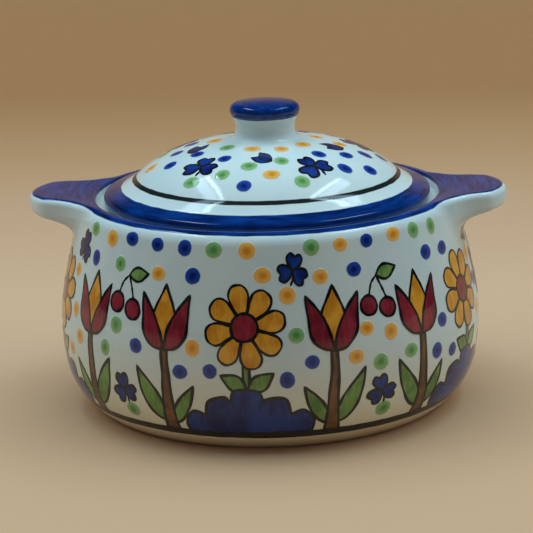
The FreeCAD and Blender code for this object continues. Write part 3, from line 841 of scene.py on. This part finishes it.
def paint_tulip(stencil, x, flip):
    """A tall tulip with two leaves, from the foot line up."""
    base = (x, SHAPE_FOOT)
    head = (x + (-1.2 if flip else 1.2), SHAPE_FOOT + 46)
    for turn, size in ((33, 0.86), (-29, 1.08)):
        leaf = placed(TULIP_LEAF, (0, 4), turn, size, turn > 0)
        stencil.shape("leaf_green", placed(leaf, base, flip=flip))
    stencil.shape("bark_brown", placed(TULIP_STEM, base, flip=flip), 1)
    stencil.shape("ochre", placed(TULIP_HEART, head, flip=flip), 2)
    for other_side in (False, True):
        stencil.shape("maroon", placed(TULIP_PETAL, head, flip=other_side), 3)


def paint_daisy(stencil, x):
    """A blue mound with scalloped top, and a round blossom on a short stem above it."""
    base, head = (x, SHAPE_FOOT), (x - 1, SHAPE_FOOT + 60)
    stencil.shape("leaf_green", placed(DAISY_STEM, base), 0, STEM_LINE)
    for turn in (60, -56):
        leaf = placed(SMALL_LEAF, (x, SHAPE_FOOT + 26), turn, 1.2)
        stencil.shape("leaf_green", leaf, 1, STEM_LINE)
    stencil.shape("cobalt", placed(MOUND, base), 2)
    for number in range(8):
        coat = 2 if number % 2 else 3
        stencil.shape("ochre", placed(DAISY_PETAL, head, 45 * number + 12), coat, THIN_LINE)
    stencil.shape("maroon", ring(head, 7.2), 4)


def paint_clover(stencil, middle, turn, size=1.0):
    """Three heart-shaped leaves on a short stalk."""
    stalk = drawn(placed(CLOVER_STALK, middle, turn, size), closed=False)
    stencil.stroke("ink", stalk, FINE_LINE, FIRST_COAT)
    for part in (-115, 0, 115):
        leaf = placed(CLOVER_LEAF, middle, turn + part, size)
        stencil.shape("cobalt", leaf, 1, FINE_LINE)


def paint_cherries(stencil, middle):
    """Two cherries on their stalks, with one leaf."""
    fork = (middle[0] + 1, middle[1] + 15)
    for x, y in ((-6.2, 0), (6.0, -2)):
        fruit = (middle[0] + x, middle[1] + y)
        bend = (fruit[0] * 0.55 + fork[0] * 0.45, fruit[1] + 11)
        stalk = drawn([(fruit[0] + 0.5, fruit[1] + 4), bend, fork], closed=False)
        stencil.stroke("ink", stalk, THIN_LINE, FIRST_COAT)
        stencil.shape("maroon", ring(fruit, 5.2), 1, STEM_LINE)
    stencil.shape("leaf_green", placed(SMALL_LEAF, fork, -78), 1, FINE_LINE)


def pot_stencil():
    """One fifth of the way round the belly; the wrap repeats it."""
    stencil = Stencil()
    paint_daisy(stencil, 0.0)
    paint_tulip(stencil, 46.5, False)
    paint_tulip(stencil, 104.5, True)
    paint_cherries(stencil, (75.5, 79.0))
    paint_clover(stencil, (75.0, 32.0), 12, 0.9)
    paint_clover(stencil, (26.5, 101.0), -14, 0.9)
    return stencil


def lid_stencil():
    """One fifth of the way round the dome; heights are counted from its middle ring."""
    stencil = Stencil()
    paint_clover(stencil, (6.0, -3.0), 15, 0.95)
    for turn in (70, 35):
        stencil.shape("cobalt", placed(SMALL_LEAF, (46.0, 6.0), turn), 0, THIN_LINE)
    return stencil


def outward_point(tree, turn, radius, height):
    """A point at a turn about the axis, a radius and a height."""
    return tree.add("ShaderNodeCombineXYZ", {0: turn.step("COSINE") * radius,
                                             1: turn.step("SINE") * radius, 2: height})


def choose(tree, switch, when_off, when_on):
    """One of two vectors, by a switch."""
    return tree.add("GeometryNodeSwitch", {"Switch": switch, "False": when_off,
                                           "True": when_on}, input_type="VECTOR")


def numbered_copies(tree):
    """The flat shape as often as it comes round, each copy with its number."""
    points = tree.add("GeometryNodePoints", {"Count": tree.given["Copies"]})
    copies = tree.add("GeometryNodeInstanceOnPoints",
                      {"Points": points, "Instance": tree.given["Geometry"]})
    number = tree.add("GeometryNodeInputIndex")
    return tree.real(tree.store(copies, "copy", number, "INSTANCE"))


def make_wrap():
    """Repeats a flat painted shape round the piece and lays it on the clay."""
    tree = Tool("painted_round_the_piece", ("Copies", "Int"), ("Ring radius", "Float"),
                 ("First turn", "Float"), ("Hand wobble", "Float"), ("From above", "Bool"),
                 ("Clay", "Object"))
    given, flat = tree.given, tree.split(tree.place)
    radius, wobble, above = given["Ring radius"], given["Hand wobble"], given["From above"]
    copies = numbered_copies(tree)
    pitch = radius * FULL_TURN / given["Copies"]
    turn = (tree.read("copy") * pitch + flat[0]) / radius + given["First turn"]
    sway = tree.noise(outward_point(tree, turn, radius, flat[1]), SWAY_SCALE, 1.0)
    sway = tree.split(sway["Color"])
    turn = turn + (sway[0] - 0.5) * wobble / radius
    height = flat[1] + (sway[1] - 0.5) * wobble
    start = choose(tree, above, outward_point(tree, turn, RAY_START, height),
                   outward_point(tree, turn, radius - height, RAY_START))
    way = choose(tree, above, outward_point(tree, turn, -1.0, 0.0), (0.0, 0.0, -1.0))
    clay = tree.add("GeometryNodeObjectInfo", {"Object": given["Clay"]})["Geometry"]
    touch = tree.add("GeometryNodeRaycast",
                     {"Target Geometry": clay, "Source Position": start, "Ray Direction": way,
                      "Ray Length": 1.0}, data_type="FLOAT")
    place = tree.moved(touch["Hit Position"], tree.scaled(touch["Hit Normal"], flat[2]))
    tree.end(tree.add("GeometryNodeRemoveAttribute",
                      {"Geometry": tree.put(copies, place), "Name": "copy"}))
    return tree


def flat_drop(tree):
    """A drop pressed flat, which still knows its height and how far its middle is."""
    drop = tree.add("GeometryNodeMeshUVSphere",
                    {"Segments": DOT_SEGMENTS, "Rings": DOT_RINGS, "Radius": 1.0})
    split = tree.split(tree.place)
    flat = tree.add("ShaderNodeCombineXYZ", {0: split[0], 1: split[1]})
    middle = tree.add("ShaderNodeVectorMath", {0: flat}, operation="LENGTH")
    marked = tree.store(drop["Mesh"], "from_middle", middle["Value"])
    return tree.put(tree.store(marked, "lift", split[2]), flat)


def dots_with_room(tree):
    """Drops of various sizes and pigments, set apart where the clay has room."""
    given, seed = tree.given, tree.given["Seed"]
    full = tree.add("FunctionNodeCompare", {0: tree.read("room"), 1: 0.99},
                    operation="LESS_THAN")
    free = tree.add("GeometryNodeDeleteGeometry",
                    {"Geometry": given["Geometry"], "Selection": full}, domain="POINT")
    spots = tree.add("GeometryNodeDistributePointsOnFaces",
                     {"Mesh": free, "Distance Min": given["Spacing"],
                      "Density Max": DOT_DENSITY, "Seed": seed}, distribute_method="POISSON")
    sizes = tree.add("FunctionNodeRandomValue",
                     {"Min": DOT_SMALLEST, "Max": DOT_LARGEST, "Seed": seed},
                     data_type="FLOAT_VECTOR")
    dots = tree.add("GeometryNodeInstanceOnPoints",
                    {"Points": spots["Points"], "Instance": flat_drop(tree),
                     "Rotation": spots["Rotation"],
                     "Scale": tree.scaled(sizes, given["Dot radius"])})
    pigment = tree.add("FunctionNodeRandomValue", {"Seed": seed}, data_type="FLOAT")[1]
    return tree.real(tree.store(dots, "pigment", pigment, "INSTANCE"))


def make_confetti():
    """Scatters flat round dots of thick paint and lays them on the clay."""
    tree = Tool("confetti_dots", ("Spacing", "Float"), ("Dot radius", "Float"),
                 ("Thickness", "Float"), ("Seed", "Int"))
    clay = tree.given["Geometry"]
    dots = dots_with_room(tree)
    near = tree.add("GeometryNodeProximity", {"Geometry": clay}, target_element="FACES")
    normal = tree.add("GeometryNodeSampleNearestSurface",
                      {"Mesh": clay, "Value": tree.add("GeometryNodeInputNormal"),
                       "Sample Position": tree.place}, data_type="FLOAT_VECTOR")
    rise = (tree.read("lift") - DOT_SINK) * tree.given["Thickness"]
    laid = tree.put(dots, tree.moved(near["Position"], tree.scaled(normal, rise)))
    tree.end(tree.add("GeometryNodeRemoveAttribute", {"Geometry": laid, "Name": "lift"}))
    return tree


def between(low, value, high):
    """A value kept between two others."""
    return np.minimum(np.maximum(value, low), high)


def soft_low(first, second, reach):
    """The lower of two distances, with a soft hollow where they meet."""
    share = between(0.0, 0.5 + 0.5 * (second - first) / reach, 1.0)
    return second + (first - second) * share - reach * share * (1 - share)


def round_high(first, second, radius):
    """The higher of two distances, with a rounded edge where they meet."""
    a, b = first + radius, second + radius
    return np.hypot(np.maximum(a, 0), np.maximum(b, 0)) + np.minimum(np.maximum(a, b), 0) - radius


def lug_plan(x, y):
    """How far a point lies outside a handle's outline, seen from above."""
    offset = LUG_REACH - LUG_CORNER_ROUND - LUG_CORNER[0]
    core_radius = (offset ** 2 + LUG_CORNER[1] ** 2) / (2 * offset)
    core = LUG_REACH - LUG_CORNER_ROUND - core_radius
    side = np.abs(y)
    tip = np.hypot(x - core, side) - core_radius
    taper = math.radians(LUG_TAPER)
    dx, dy = x - LUG_CORNER[0], side - LUG_CORNER[1]
    flank = dx * math.sin(taper) + dy * math.cos(taper)
    past_flank = dx * math.cos(taper) - dy * math.sin(taper) > 0
    out = np.array(LUG_CORNER) - (core, 0.0)
    before_tip = dx * out[1] - dy * out[0] < 0
    corner = past_flank & before_tip & (dx * out[0] + dy * out[1] > 0)
    away = np.where(corner, np.hypot(dx, dy), np.maximum(tip, flank))
    return away - LUG_CORNER_ROUND


def lug_top(radius):
    """The height of a handle's top: level on the rim, then gently domed."""
    start, end = (rim_centre()[0], RIM[1]), (LUG_END, LUG_END_TOP)
    dome = circles_meet(end, LUG_TOP_CURVE, start, LUG_TOP_CURVE)
    arc = dome[1] + np.sqrt(LUG_TOP_CURVE ** 2 - (radius - dome[0]) ** 2)
    return -soft_low(-arc, np.full_like(radius, -RIM[1]), LUG_TOP_BLEND)


def lug_under(radius):
    """The height of a handle's hollow underside."""
    away = between(-LUG_UNDER_CURVE, radius - LUG_END, LUG_UNDER_CURVE)
    return LUG_END_UNDER - LUG_UNDER_CURVE + np.sqrt(LUG_UNDER_CURVE ** 2 - away ** 2)


def wall_distance(radius, height):
    """How far a point lies outside the leaning wall, carried on past the rim."""
    lean = math.radians(wall_lean())
    return (radius - RIM[0]) * math.cos(lean) + (height - RIM[1]) * math.sin(lean)


def rim_distance(radius, height):
    """How far a point lies outside the plain rim and the wall below it."""
    centre, lean = rim_centre(), math.radians(wall_lean())
    across, above = radius - centre[0], height - centre[1]
    round_part = (across > 0) & (above * math.cos(lean) > across * math.sin(lean))
    flat_part = np.maximum(wall_distance(radius, height), height - RIM[1])
    return np.where(round_part, np.hypot(across, above) - RIM_OUTER_ROUND, flat_part)


def nearness(plan):
    """1 on a handle and its root, softly falling to 0 where only the rim is left."""
    share = between(0.0, (LUG_SIDE_BLEND - plan) / (LUG_SIDE_BLEND - LUG_SIDE_FULL), 1.0)
    return share * share * (3 - 2 * share)


def clay_distance(radius, height, turn, root_blend=None):
    """How far a point lies outside the rim, or with a root's blend outside rim and handle."""
    plain = rim_distance(radius, height)
    if root_blend is None:
        return plain
    plan = lug_plan(radius * np.cos(turn), radius * np.sin(turn))
    lug = round_high(plan, lug_under(radius) - height, LUG_UNDER_ROUND)
    low_share = between(0.0, (ROOT_BLEND_TOP - height) / ROOT_BLEND_DEPTH, 1.0)
    reach = LUG_SIDE_BLEND + (root_blend - LUG_SIDE_BLEND) * low_share
    side = soft_low(wall_distance(radius, height), lug, reach)
    grown = round_high(side, height - lug_top(radius), LUG_TOP_ROUND)
    return plain + (grown - plain) * nearness(plan)


def ray_end(reach, slope):
    """The radius and height that a ray from the heart of the rim reaches."""
    return HEART[0] + reach * np.cos(slope), HEART[1] + reach * np.sin(slope)


def reach_of_clay(slope, turn, root_blend=None):
    """How far the clay reaches from the heart of the rim, along each ray."""
    low, high = np.full(slope.shape, SHORTEST_RAY), np.full(slope.shape, LONGEST_RAY)
    for _ in range(40):
        middle = (low + high) / 2
        outside = clay_distance(*ray_end(middle, slope), turn, root_blend) > 0
        high = np.where(outside, middle, high)
        low = np.where(outside, low, middle)
    return (low + high) / 2


def even_rays(root_blend):
    """Rays that cut the handle's middle section into even steps."""
    fine = np.radians(np.linspace(FIRST_RAY, LAST_RAY, 1500))
    reach = reach_of_clay(fine, np.zeros_like(fine), root_blend)
    x, z = reach * np.cos(fine), reach * np.sin(fine)
    lengths = np.concatenate(([0.0], np.cumsum(np.hypot(np.diff(x), np.diff(z)))))
    return np.interp(np.linspace(0, lengths[-1], LUG_ROWS), lengths, fine)


def handle_mesh(name, facing, root_blend, paint_inset):
    """A handle that grows out of the rim and the wall with soft roots, as a closed skin."""
    turns = np.radians(np.linspace(-HALF_SPREAD, HALF_SPREAD, LUG_COLUMNS))
    slope, turn = np.meshgrid(even_rays(root_blend), turns, indexing="ij")
    plain = reach_of_clay(slope, turn)
    rise = np.maximum(reach_of_clay(slope, turn, root_blend) - plain, 0.0)
    points = []
    for reach in (plain - SKIN_SINK + rise, plain - SKIN_DEPTH):
        radius, height = ray_end(reach, slope)
        x, y = radius * np.cos(turn + facing), radius * np.sin(turn + facing)
        points.append(np.stack((x, y, height), axis=-1).reshape(-1, 3) * MM)
    count = LUG_ROWS * LUG_COLUMNS
    grid = np.arange(count).reshape(LUG_ROWS, LUG_COLUMNS)
    front = np.stack((grid[:-1, :-1], grid[1:, :-1], grid[1:, 1:], grid[:-1, 1:]), axis=-1)
    faces = closed_skin(front.reshape(-1, 4).tolist(), count)
    radius, height = ray_end(plain - SKIN_SINK + rise, slope)
    blue = handle_paint(radius, height, turn, paint_inset).reshape(-1)
    mesh = new_mesh(name, np.concatenate(points).tolist(), [], faces,
                    blue_band=np.tile(blue, 2), black_line=np.full(2 * count, NO_PAINT))
    mesh.shade_smooth()
    mesh.set_sharp_from_angle(angle=math.radians(60))
    return mesh


def handle_paint(radius, height, turn, inset):
    """How far inside the blue each point of a handle lies, along its own section."""
    rim_edge = radius - RIM_PAINT_OUTSIDE[0]
    lug_edge = lug_plan(radius * np.cos(turn), radius * np.sin(turn)) + inset
    plan = soft_low(rim_edge, lug_edge, LUG_SIDE_BLEND)
    steps = np.hypot(np.diff(radius, axis=0), np.diff(height, axis=0))
    lengths = np.concatenate((np.zeros((1, radius.shape[1])), np.cumsum(steps, axis=0)))
    first = np.argmax((plan > 0) & (lengths > 1.0), axis=0)
    column = np.arange(radius.shape[1])
    before, after = plan[first - 1, column], plan[first, column]
    share = -before / np.maximum(after - before, 1e-6)
    edge = lengths[first - 1, column]
    edge = edge + (lengths[first, column] - edge) * share
    return edge[None, :] - lengths


class Finish(Tree):
    """A glossy material, whose colour is worked out from the place on the piece."""

    def __init__(self, name):
        self.material = bpy.data.materials.new(name)
        self.material.use_nodes = True
        super().__init__(self.material.node_tree)
        self.group.nodes.clear()
        self.place = self.add("ShaderNodeTexCoord")["Object"]

    def mark(self, name):
        return self.add("ShaderNodeAttribute", attribute_name=name)["Fac"]

    def blend(self, share, first, second):
        """A mix of two colours."""
        return self.add("ShaderNodeMix", {0: share, 6: first, 7: second}, data_type="RGBA")[2]

    def ramp(self, value, low, high):
        """Goes from 0 to 1 as a value passes from low to high, with soft ends."""
        return self.add("ShaderNodeMapRange",
                        {"Value": value, "From Min": low, "From Max": high},
                        interpolation_type="SMOOTHSTEP")

    def end(self, shader):
        self.add("ShaderNodeOutputMaterial", {"Surface": shader})
        return self.material


def clouds(finish):
    """The slow clouds in the glaze, which its colour and its gloss share."""
    return finish.noise(finish.place, CLOUD_SCALE, 3.0)


def white_glaze(finish, cloud):
    """Clouded white glaze, with warm light from the floor painted on it towards the foot."""
    height = finish.split(finish.place)[2]
    clouded = finish.blend(finish.ramp(cloud, *CLOUD_TONES), WHITE_GLAZE, WHITE_POOL)
    # Painted floor light: the white turns warmer from 64 mm down to 12 mm.
    return finish.blend(finish.ramp(height, *FLOOR_BOUNCE_HEIGHTS), clouded, FLOOR_BOUNCE_TINT)


def glazed(finish, tint, cloud, bare=None):
    """The gloss of the clear glaze over a colour, faintly uneven, and dull on bare clay."""
    rough = cloud * CLOUD_ROUGHNESS + GLAZE_ROUGHNESS
    if bare is not None:
        rough = bare * CLAY_ROUGHNESS + rough
    bump = finish.add("ShaderNodeBump", {"Height": finish.noise(finish.place, SKIN_SCALE),
                                         "Strength": SKIN_STRENGTH,
                                         "Distance": SKIN_RELIEF * MM})
    return finish.end(finish.add("ShaderNodeBsdfPrincipled", {
        "Base Color": tint, "Roughness": rough, "Normal": bump, "IOR": GLAZE_IOR}))


def brushed_paint(name):
    """One colour of paint, watery where the brush ran dry and dense where it rested."""
    finish = Finish(name + "_paint")
    hairs = finish.add("ShaderNodeMapping", {"Vector": finish.place, "Scale": BRUSH_STRETCH})
    pool = finish.noise(finish.place, POOL_SCALE)
    depth = pool * POOL_SHARE + finish.noise(hairs, 1.0) * HAIR_SHARE
    return glazed(finish, finish.blend(finish.ramp(depth, *PAINT_TONES), *PAINTS[name]),
                  clouds(finish))


def pick(finish, value, stops):
    """One of several colours, by a number from 0 to 1."""
    chosen = finish.add("ShaderNodeValToRGB", {0: value})
    ramp = chosen.node.color_ramp
    ramp.interpolation = "CONSTANT"
    for _ in stops[2:]:
        ramp.elements.new(0.5)
    for element, (start, _) in zip(ramp.elements, stops):
        element.position = start
    for element, (_, tint) in zip(ramp.elements, stops):
        element.color = tint
    return chosen


def dot_paint():
    """Dots of three colours, dense in the middle and watery at the edge."""
    finish = Finish("dot_paint")
    cloud = clouds(finish)
    pigment, middle = finish.mark("pigment"), finish.mark("from_middle")
    shift = (finish.noise(finish.place, BLOT_SCALE) - 0.5) * DOT_WAVER
    thin = pick(finish, pigment, [(start, first) for start, first, _ in DOT_PAINTS])
    dense = pick(finish, pigment, [(start, second) for start, _, second in DOT_PAINTS])
    tint = finish.blend(finish.ramp(middle + shift, *DOT_TONES), dense, thin)
    edge = finish.ramp(middle + shift * DOT_EDGE_WAVER, *DOT_EDGE)
    return glazed(finish, finish.blend(edge, tint, white_glaze(finish, cloud)), cloud)


def band_glaze():
    """White glaze with the painted bands that the attributes mark, and bare clay underneath."""
    finish = Finish("painted_glaze")
    split = finish.split(finish.place)
    x, y, height = split[0], split[1], split[2]
    radius = (x * x + y * y).step("SQRT")
    cloud = clouds(finish)
    along_wheel = finish.add("ShaderNodeCombineXYZ", {
        0: x / radius * WHEEL_STREAK, 1: y / radius * WHEEL_STREAK, 2: height + radius})
    streak = finish.noise(along_wheel, STREAK_SCALE, 1.0)
    body = streak * STREAK_SHARE + cloud * CLOUD_SHARE
    blue = finish.blend(finish.ramp(body, *BLUE_TONES), BLUE_DEEP, BLUE_PAINT)
    shift = (finish.noise(finish.place, EDGE_SCALE) - 0.5) * EDGE_WAVER
    in_blue = finish.ramp(finish.mark("blue_band") + shift, *BLUE_EDGE)
    in_line = finish.ramp(finish.mark("black_line") + shift * LINE_WAVER, *LINE_EDGE)
    white = finish.blend(finish.ramp(height, *FOOT_HEIGHTS), white_glaze(finish, cloud),
                         FOOT_GLAZE)
    painted = finish.blend(in_line, finish.blend(in_blue, white, blue), BLACK_PAINT)
    bare = finish.ramp(height, *BARE_HEIGHTS) * finish.ramp(radius, *BARE_RADII)
    return glazed(finish, finish.blend(bare, painted, BUFF_CLAY), cloud, bare)


def set_camera():
    """The photograph's viewpoint, in the handles' own frame."""
    tilt, swing = math.radians(CAMERA_TILT), math.radians(CAMERA_SWING)
    roll = math.radians(CAMERA_ROLL)
    back = Vector((math.sin(swing) * math.cos(tilt), -math.cos(swing) * math.cos(tilt),
                   math.sin(tilt)))
    right = Vector((math.cos(swing), math.sin(swing), 0.0))
    up = back.cross(right)
    across = right * math.cos(roll) + up * math.sin(roll)
    upward = up * math.cos(roll) - right * math.sin(roll)
    place = CAMERA_AIM + back * CAMERA_DISTANCE
    data = bpy.data.cameras.new("camera")
    data.sensor_width = SENSOR_WIDTH
    data.lens = SENSOR_WIDTH * FOCAL_PIXELS / PICTURE_PIXELS
    data.clip_start = 0.1
    data.clip_end = 20.0
    camera = new_object("camera", data)
    camera.matrix_world = Matrix(((*across, 0.0), (*upward, 0.0), (*back, 0.0),
                                  (*place, 1.0))).transposed()
    bpy.context.scene.camera = camera


def warm_paper():
    """Pale paper with painted shade, darker on the far floor, on the back and towards the top,
    and that can't be seen from behind.
    """
    finish = Finish("warm_paper")
    split = finish.split(finish.place)
    # Painted shade: darker on the floor far behind the pot, on the back, and again towards the
    # top.
    level = finish.blend(finish.ramp(split[1], *FAR_DEPTHS), PAPER_FLOOR, PAPER_FAR_SHADE)
    paper = finish.blend(finish.ramp(split[2], *BACK_HEIGHTS), level, PAPER_BACK_SHADE)
    top_shaded = finish.blend(finish.ramp(split[2], *SHADE_HEIGHTS), paper, PAPER_TOP_SHADE)
    shader = finish.add("ShaderNodeBsdfPrincipled", {
        "Base Color": top_shaded, "Specular IOR Level": PAPER_GLOSS, "Roughness": PAPER_ROUGHNESS,
        "IOR": GLAZE_IOR})
    behind = finish.add("ShaderNodeNewGeometry")["Backfacing"]
    looked_at = finish.add("ShaderNodeLightPath")["Is Camera Ray"]
    gone = finish.add("ShaderNodeBsdfTransparent")
    return finish.end(finish.add("ShaderNodeMixShader",
                                 {0: behind * looked_at, 1: shader, 2: gone}))


def set_floor():
    """A paper sweep: level floor, soft bend and upright back."""
    section = Section((SWEEP_FRONT, 0.0))
    section.line((BEND_START, 0.0), step=0.4)
    section.arc((BEND_START, BEND_RADIUS), BEND_RADIUS, -90, -BACK_LEAN, step=0.012)
    section.line(polar(section.points[-1], BACK_HEIGHT, 90 - BACK_LEAN), step=0.1)
    points = [(side, way, rise) for way, rise in section.points
              for side in (-SWEEP_SIDE, SWEEP_SIDE)]
    faces = [(i, i + 1, i + 3, i + 2) for i in range(0, len(points) - 2, 2)]
    mesh = new_mesh("paper_sweep", points, [], faces)
    mesh.shade_smooth()
    mesh.materials.append(warm_paper())
    new_object("paper_sweep", mesh)


def add_lamp(name, place, size, power, tint, turn=0.0, mirrored=True):
    """A flat lamp that looks straight down; glaze mirrors it or only takes its light."""
    data = bpy.data.lights.new(name, "AREA")
    data.shape = "RECTANGLE"
    data.size, data.size_y = size
    data.energy = power
    data.color = tint
    lamp = new_object(name, data)
    lamp.location = place
    lamp.rotation_euler = (0.0, 0.0, math.radians(turn))
    lamp.visible_glossy = mirrored


def set_lights():
    """Daylight from a wide ceiling, two tall windows that the glaze mirrors, a dim room."""
    add_lamp("ceiling", CEILING_PLACE, CEILING_SIZE, CEILING_POWER, CEILING_TINT, mirrored=False)
    for side, across, turn in WINDOWS:
        add_lamp("window", (side * across, WINDOW_DEPTH, WINDOW_HEIGHT), WINDOW_SIZE,
                 WINDOW_POWER, WINDOW_TINT, turn=-side * turn)
        add_lamp("window_haze", (side * (across + HAZE_GAP), HAZE_DEPTH, WINDOW_HEIGHT),
                 HAZE_SIZE, HAZE_POWER, HAZE_TINT, turn=-side * turn)
    world = bpy.data.worlds.new("dim_room")
    world.use_nodes = True
    shade = world.node_tree.nodes["Background"]
    shade.inputs["Color"].default_value = ROOM_TINT
    shade.inputs["Strength"].default_value = ROOM_LIGHT
    world.cycles_visibility.glossy = False
    bpy.context.scene.world = world


def clear_of(stencil, across, up, width):
    """Whether places in one repeat of a stencil are clear of its shapes."""
    clear = np.ones(np.shape(across), dtype=bool)
    for outline in stencil.outlines:
        for beside in (across, across - width):
            clear &= ~is_inside(outline, beside, up) & (nearest(outline, beside, up) > DOT_MARGIN)
    return clear


def room_on_pot(stencil, place, normal):
    """Free white on the outside of the pot, away from the shapes and the handles' roots."""
    x, y, z = place
    turn = np.arctan2(y, x)
    pitch = FULL_TURN / POT_COPIES
    outside = normal[0] * x + normal[1] * y > 0
    level = (z > FOOT_LINE_HIGH + DOT_MARGIN) & (z < RIM[1] - 1 - DOT_MARGIN)
    beside_lug = np.abs(np.sin(turn)) < math.sin(math.radians(LUG_SHADE_TURN))
    room = outside & level & ~((z > LUG_SHADE_HEIGHT) & beside_lug)
    spots = np.flatnonzero(room)
    across = (turn[spots] - POT_FIRST_TURN) % pitch * BELLY_RING
    room[spots] = clear_of(stencil, across, z[spots], pitch * BELLY_RING)
    return room


def room_on_lid(stencil, place, normal):
    """Free white on the dome, between the collar and the black line."""
    x, y, z = place
    radius, turn = np.hypot(x, y), np.arctan2(y, x)
    pitch = FULL_TURN / LID_COPIES
    room = (normal[2] > DOME_SLOPE) & (z > CREASE[1]) & (radius > COLLAR_RADIUS + COLLAR_MARGIN)
    room &= radius < CREASE[0] - LID_LINE_IN - DOT_MARGIN
    across = (turn - LID_FIRST_TURN) % pitch * LID_RING
    return room & clear_of(stencil, across, LID_RING - radius, pitch * LID_RING)


def dress(piece, body, node=None):
    """Says what a piece rides on, and hides the node that it stands for."""
    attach(piece, body)
    if node:
        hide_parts(node)
    return piece


def lay_paints(body, stencil, clay, tree, paints, values):
    """One piece for each paint of a stencil, laid on the clay."""
    for paint, points in stencil.points.items():
        mesh = new_mesh(body + "_flat", points, [], stencil.faces[paint])
        piece = tree.run(body + "_" + paint, mesh, {
            **values, "Hand wobble": HAND_WOBBLE * MM, "Clay": clay, "Finish": paints[paint]},
            sharp_angle=40)
        dress(piece, body)


def scatter_dots(body, clay, stencil, room_for, tree, finish, seed):
    """The dots of the pot or the lid, on a copy of its clay that knows where it has room."""
    mesh = clay.data.copy()
    spots, normals = np.empty((2, len(mesh.vertices) * 3))
    mesh.vertices.foreach_get("co", spots)
    mesh.vertices.foreach_get("normal", normals)
    room = room_for(stencil, spots.reshape(-1, 3).T / MM, normals.reshape(-1, 3).T)
    mesh.attributes.new("room", "FLOAT", "POINT").data.foreach_set("value", room.astype(float))
    piece = tree.run(body + "_dots", mesh, {
        "Spacing": DOT_SPACING * MM, "Dot radius": DOT_RADIUS * MM,
        "Thickness": DOT_THICKNESS * MM, "Seed": seed, "Finish": finish})
    dress(piece, body)


def joined_copy(pieces):
    """One throwaway object with the faces of several pieces, for paint to lie on."""
    points, faces = [], []
    for piece in pieces:
        start = len(points)
        points.extend(vertex.co[:] for vertex in piece.data.vertices)
        faces.extend([start + i for i in face.vertices] for face in piece.data.polygons)
    return new_object("clay", new_mesh("clay", points, [], faces))


def make_pot(wheel, glaze):
    """The bowl with its blue rim and the black line above its foot."""
    section = pot_section()
    heights = section.heights()
    foot_line = np.minimum(heights - FOOT_LINE_LOW, FOOT_LINE_HIGH - heights)
    foot_line[section.lengths() < section.length_at(RIM)] = NO_PAINT
    rim_band = section.inside_band(RIM_PAINT_INSIDE, RIM_PAINT_OUTSIDE)
    pot = turned_piece("pot", section, wheel, POT_STEPS, glaze, rim_band, foot_line)
    return dress(pot, "pot", "pot_bowl")


def make_lug(name, node, facing, root_blend, paint_inset, glaze):
    """A handle in its glaze, which stands for the plain lug of clay."""
    mesh = handle_mesh(name, facing, root_blend, paint_inset)
    mesh.materials.append(glaze)
    return dress(new_object(name, mesh), "pot", node)


def make_lid(wheel, glaze):
    """The dome with its blue edge and the black line in its crease."""
    section = lid_section()
    lengths, crease = section.lengths(), section.length_at(CREASE)
    line = np.minimum(crease + LID_LINE_OUT - lengths, lengths - crease + LID_LINE_IN)
    edge_band = section.inside_band(LID_PAINT_INSIDE, LID_PAINT_OUTSIDE)
    lid = turned_piece("lid", section, wheel, LID_STEPS, glaze, edge_band, line)
    return dress(lid, "lid", "lid_dome")


def make_knob(wheel, glaze):
    """The knob, blue down to its waist."""
    section = knob_section()
    outside = section.lengths() < section.length_at((COLLAR_RADIUS, COLLAR_TOP)) + 1
    blue = np.where(outside, section.heights() - KNOB_PAINT_HEIGHT, NO_PAINT)
    none = np.full(len(blue), NO_PAINT)
    knob = turned_piece("knob", section, wheel, KNOB_STEPS, glaze, blue, none)
    return dress(knob, "lid", "lid_knob")


def paint_pieces(pot, lugs, lid):
    """The painted shapes first, then the dots where they leave room."""
    wrap, confetti = make_wrap(), make_confetti()
    paints = {paint: brushed_paint(paint) for paint in PAINTS}
    dot_finish = dot_paint()
    on_pot, on_lid = pot_stencil(), lid_stencil()
    clay = joined_copy([pot] + lugs)
    lay_paints("pot", on_pot, clay, wrap, paints, {
        "Copies": POT_COPIES, "Ring radius": BELLY_RING * MM, "First turn": POT_FIRST_TURN,
        "From above": False})
    bpy.data.objects.remove(clay)
    lay_paints("lid", on_lid, lid, wrap, paints, {
        "Copies": LID_COPIES, "Ring radius": LID_RING * MM, "First turn": LID_FIRST_TURN,
        "From above": True})
    scatter_dots("pot", pot, on_pot, room_on_pot, confetti, dot_finish, POT_DOT_SEED)
    scatter_dots("lid", lid, on_lid, room_on_lid, confetti, dot_finish, LID_DOT_SEED)


def make_dish():
    """The five pieces of clay, and then the paint on them."""
    wheel, glaze = make_wheel(), band_glaze()
    pot = make_pot(wheel, glaze)
    lugs = [make_lug("right_lug", "right_handle", 0.0, RIGHT_LUG_ROOT_BLEND,
                     RIGHT_LUG_PAINT_INSET, glaze),
            make_lug("left_lug", "left_handle", math.pi, LEFT_LUG_ROOT_BLEND,
                     LEFT_LUG_PAINT_INSET, glaze)]
    lid = make_lid(wheel, glaze)
    make_knob(wheel, glaze)
    paint_pieces(pot, lugs, lid)


set_camera()
set_floor()
set_lights()
make_dish()
scene = bpy.context.scene
scene.view_settings.view_transform = "Standard"
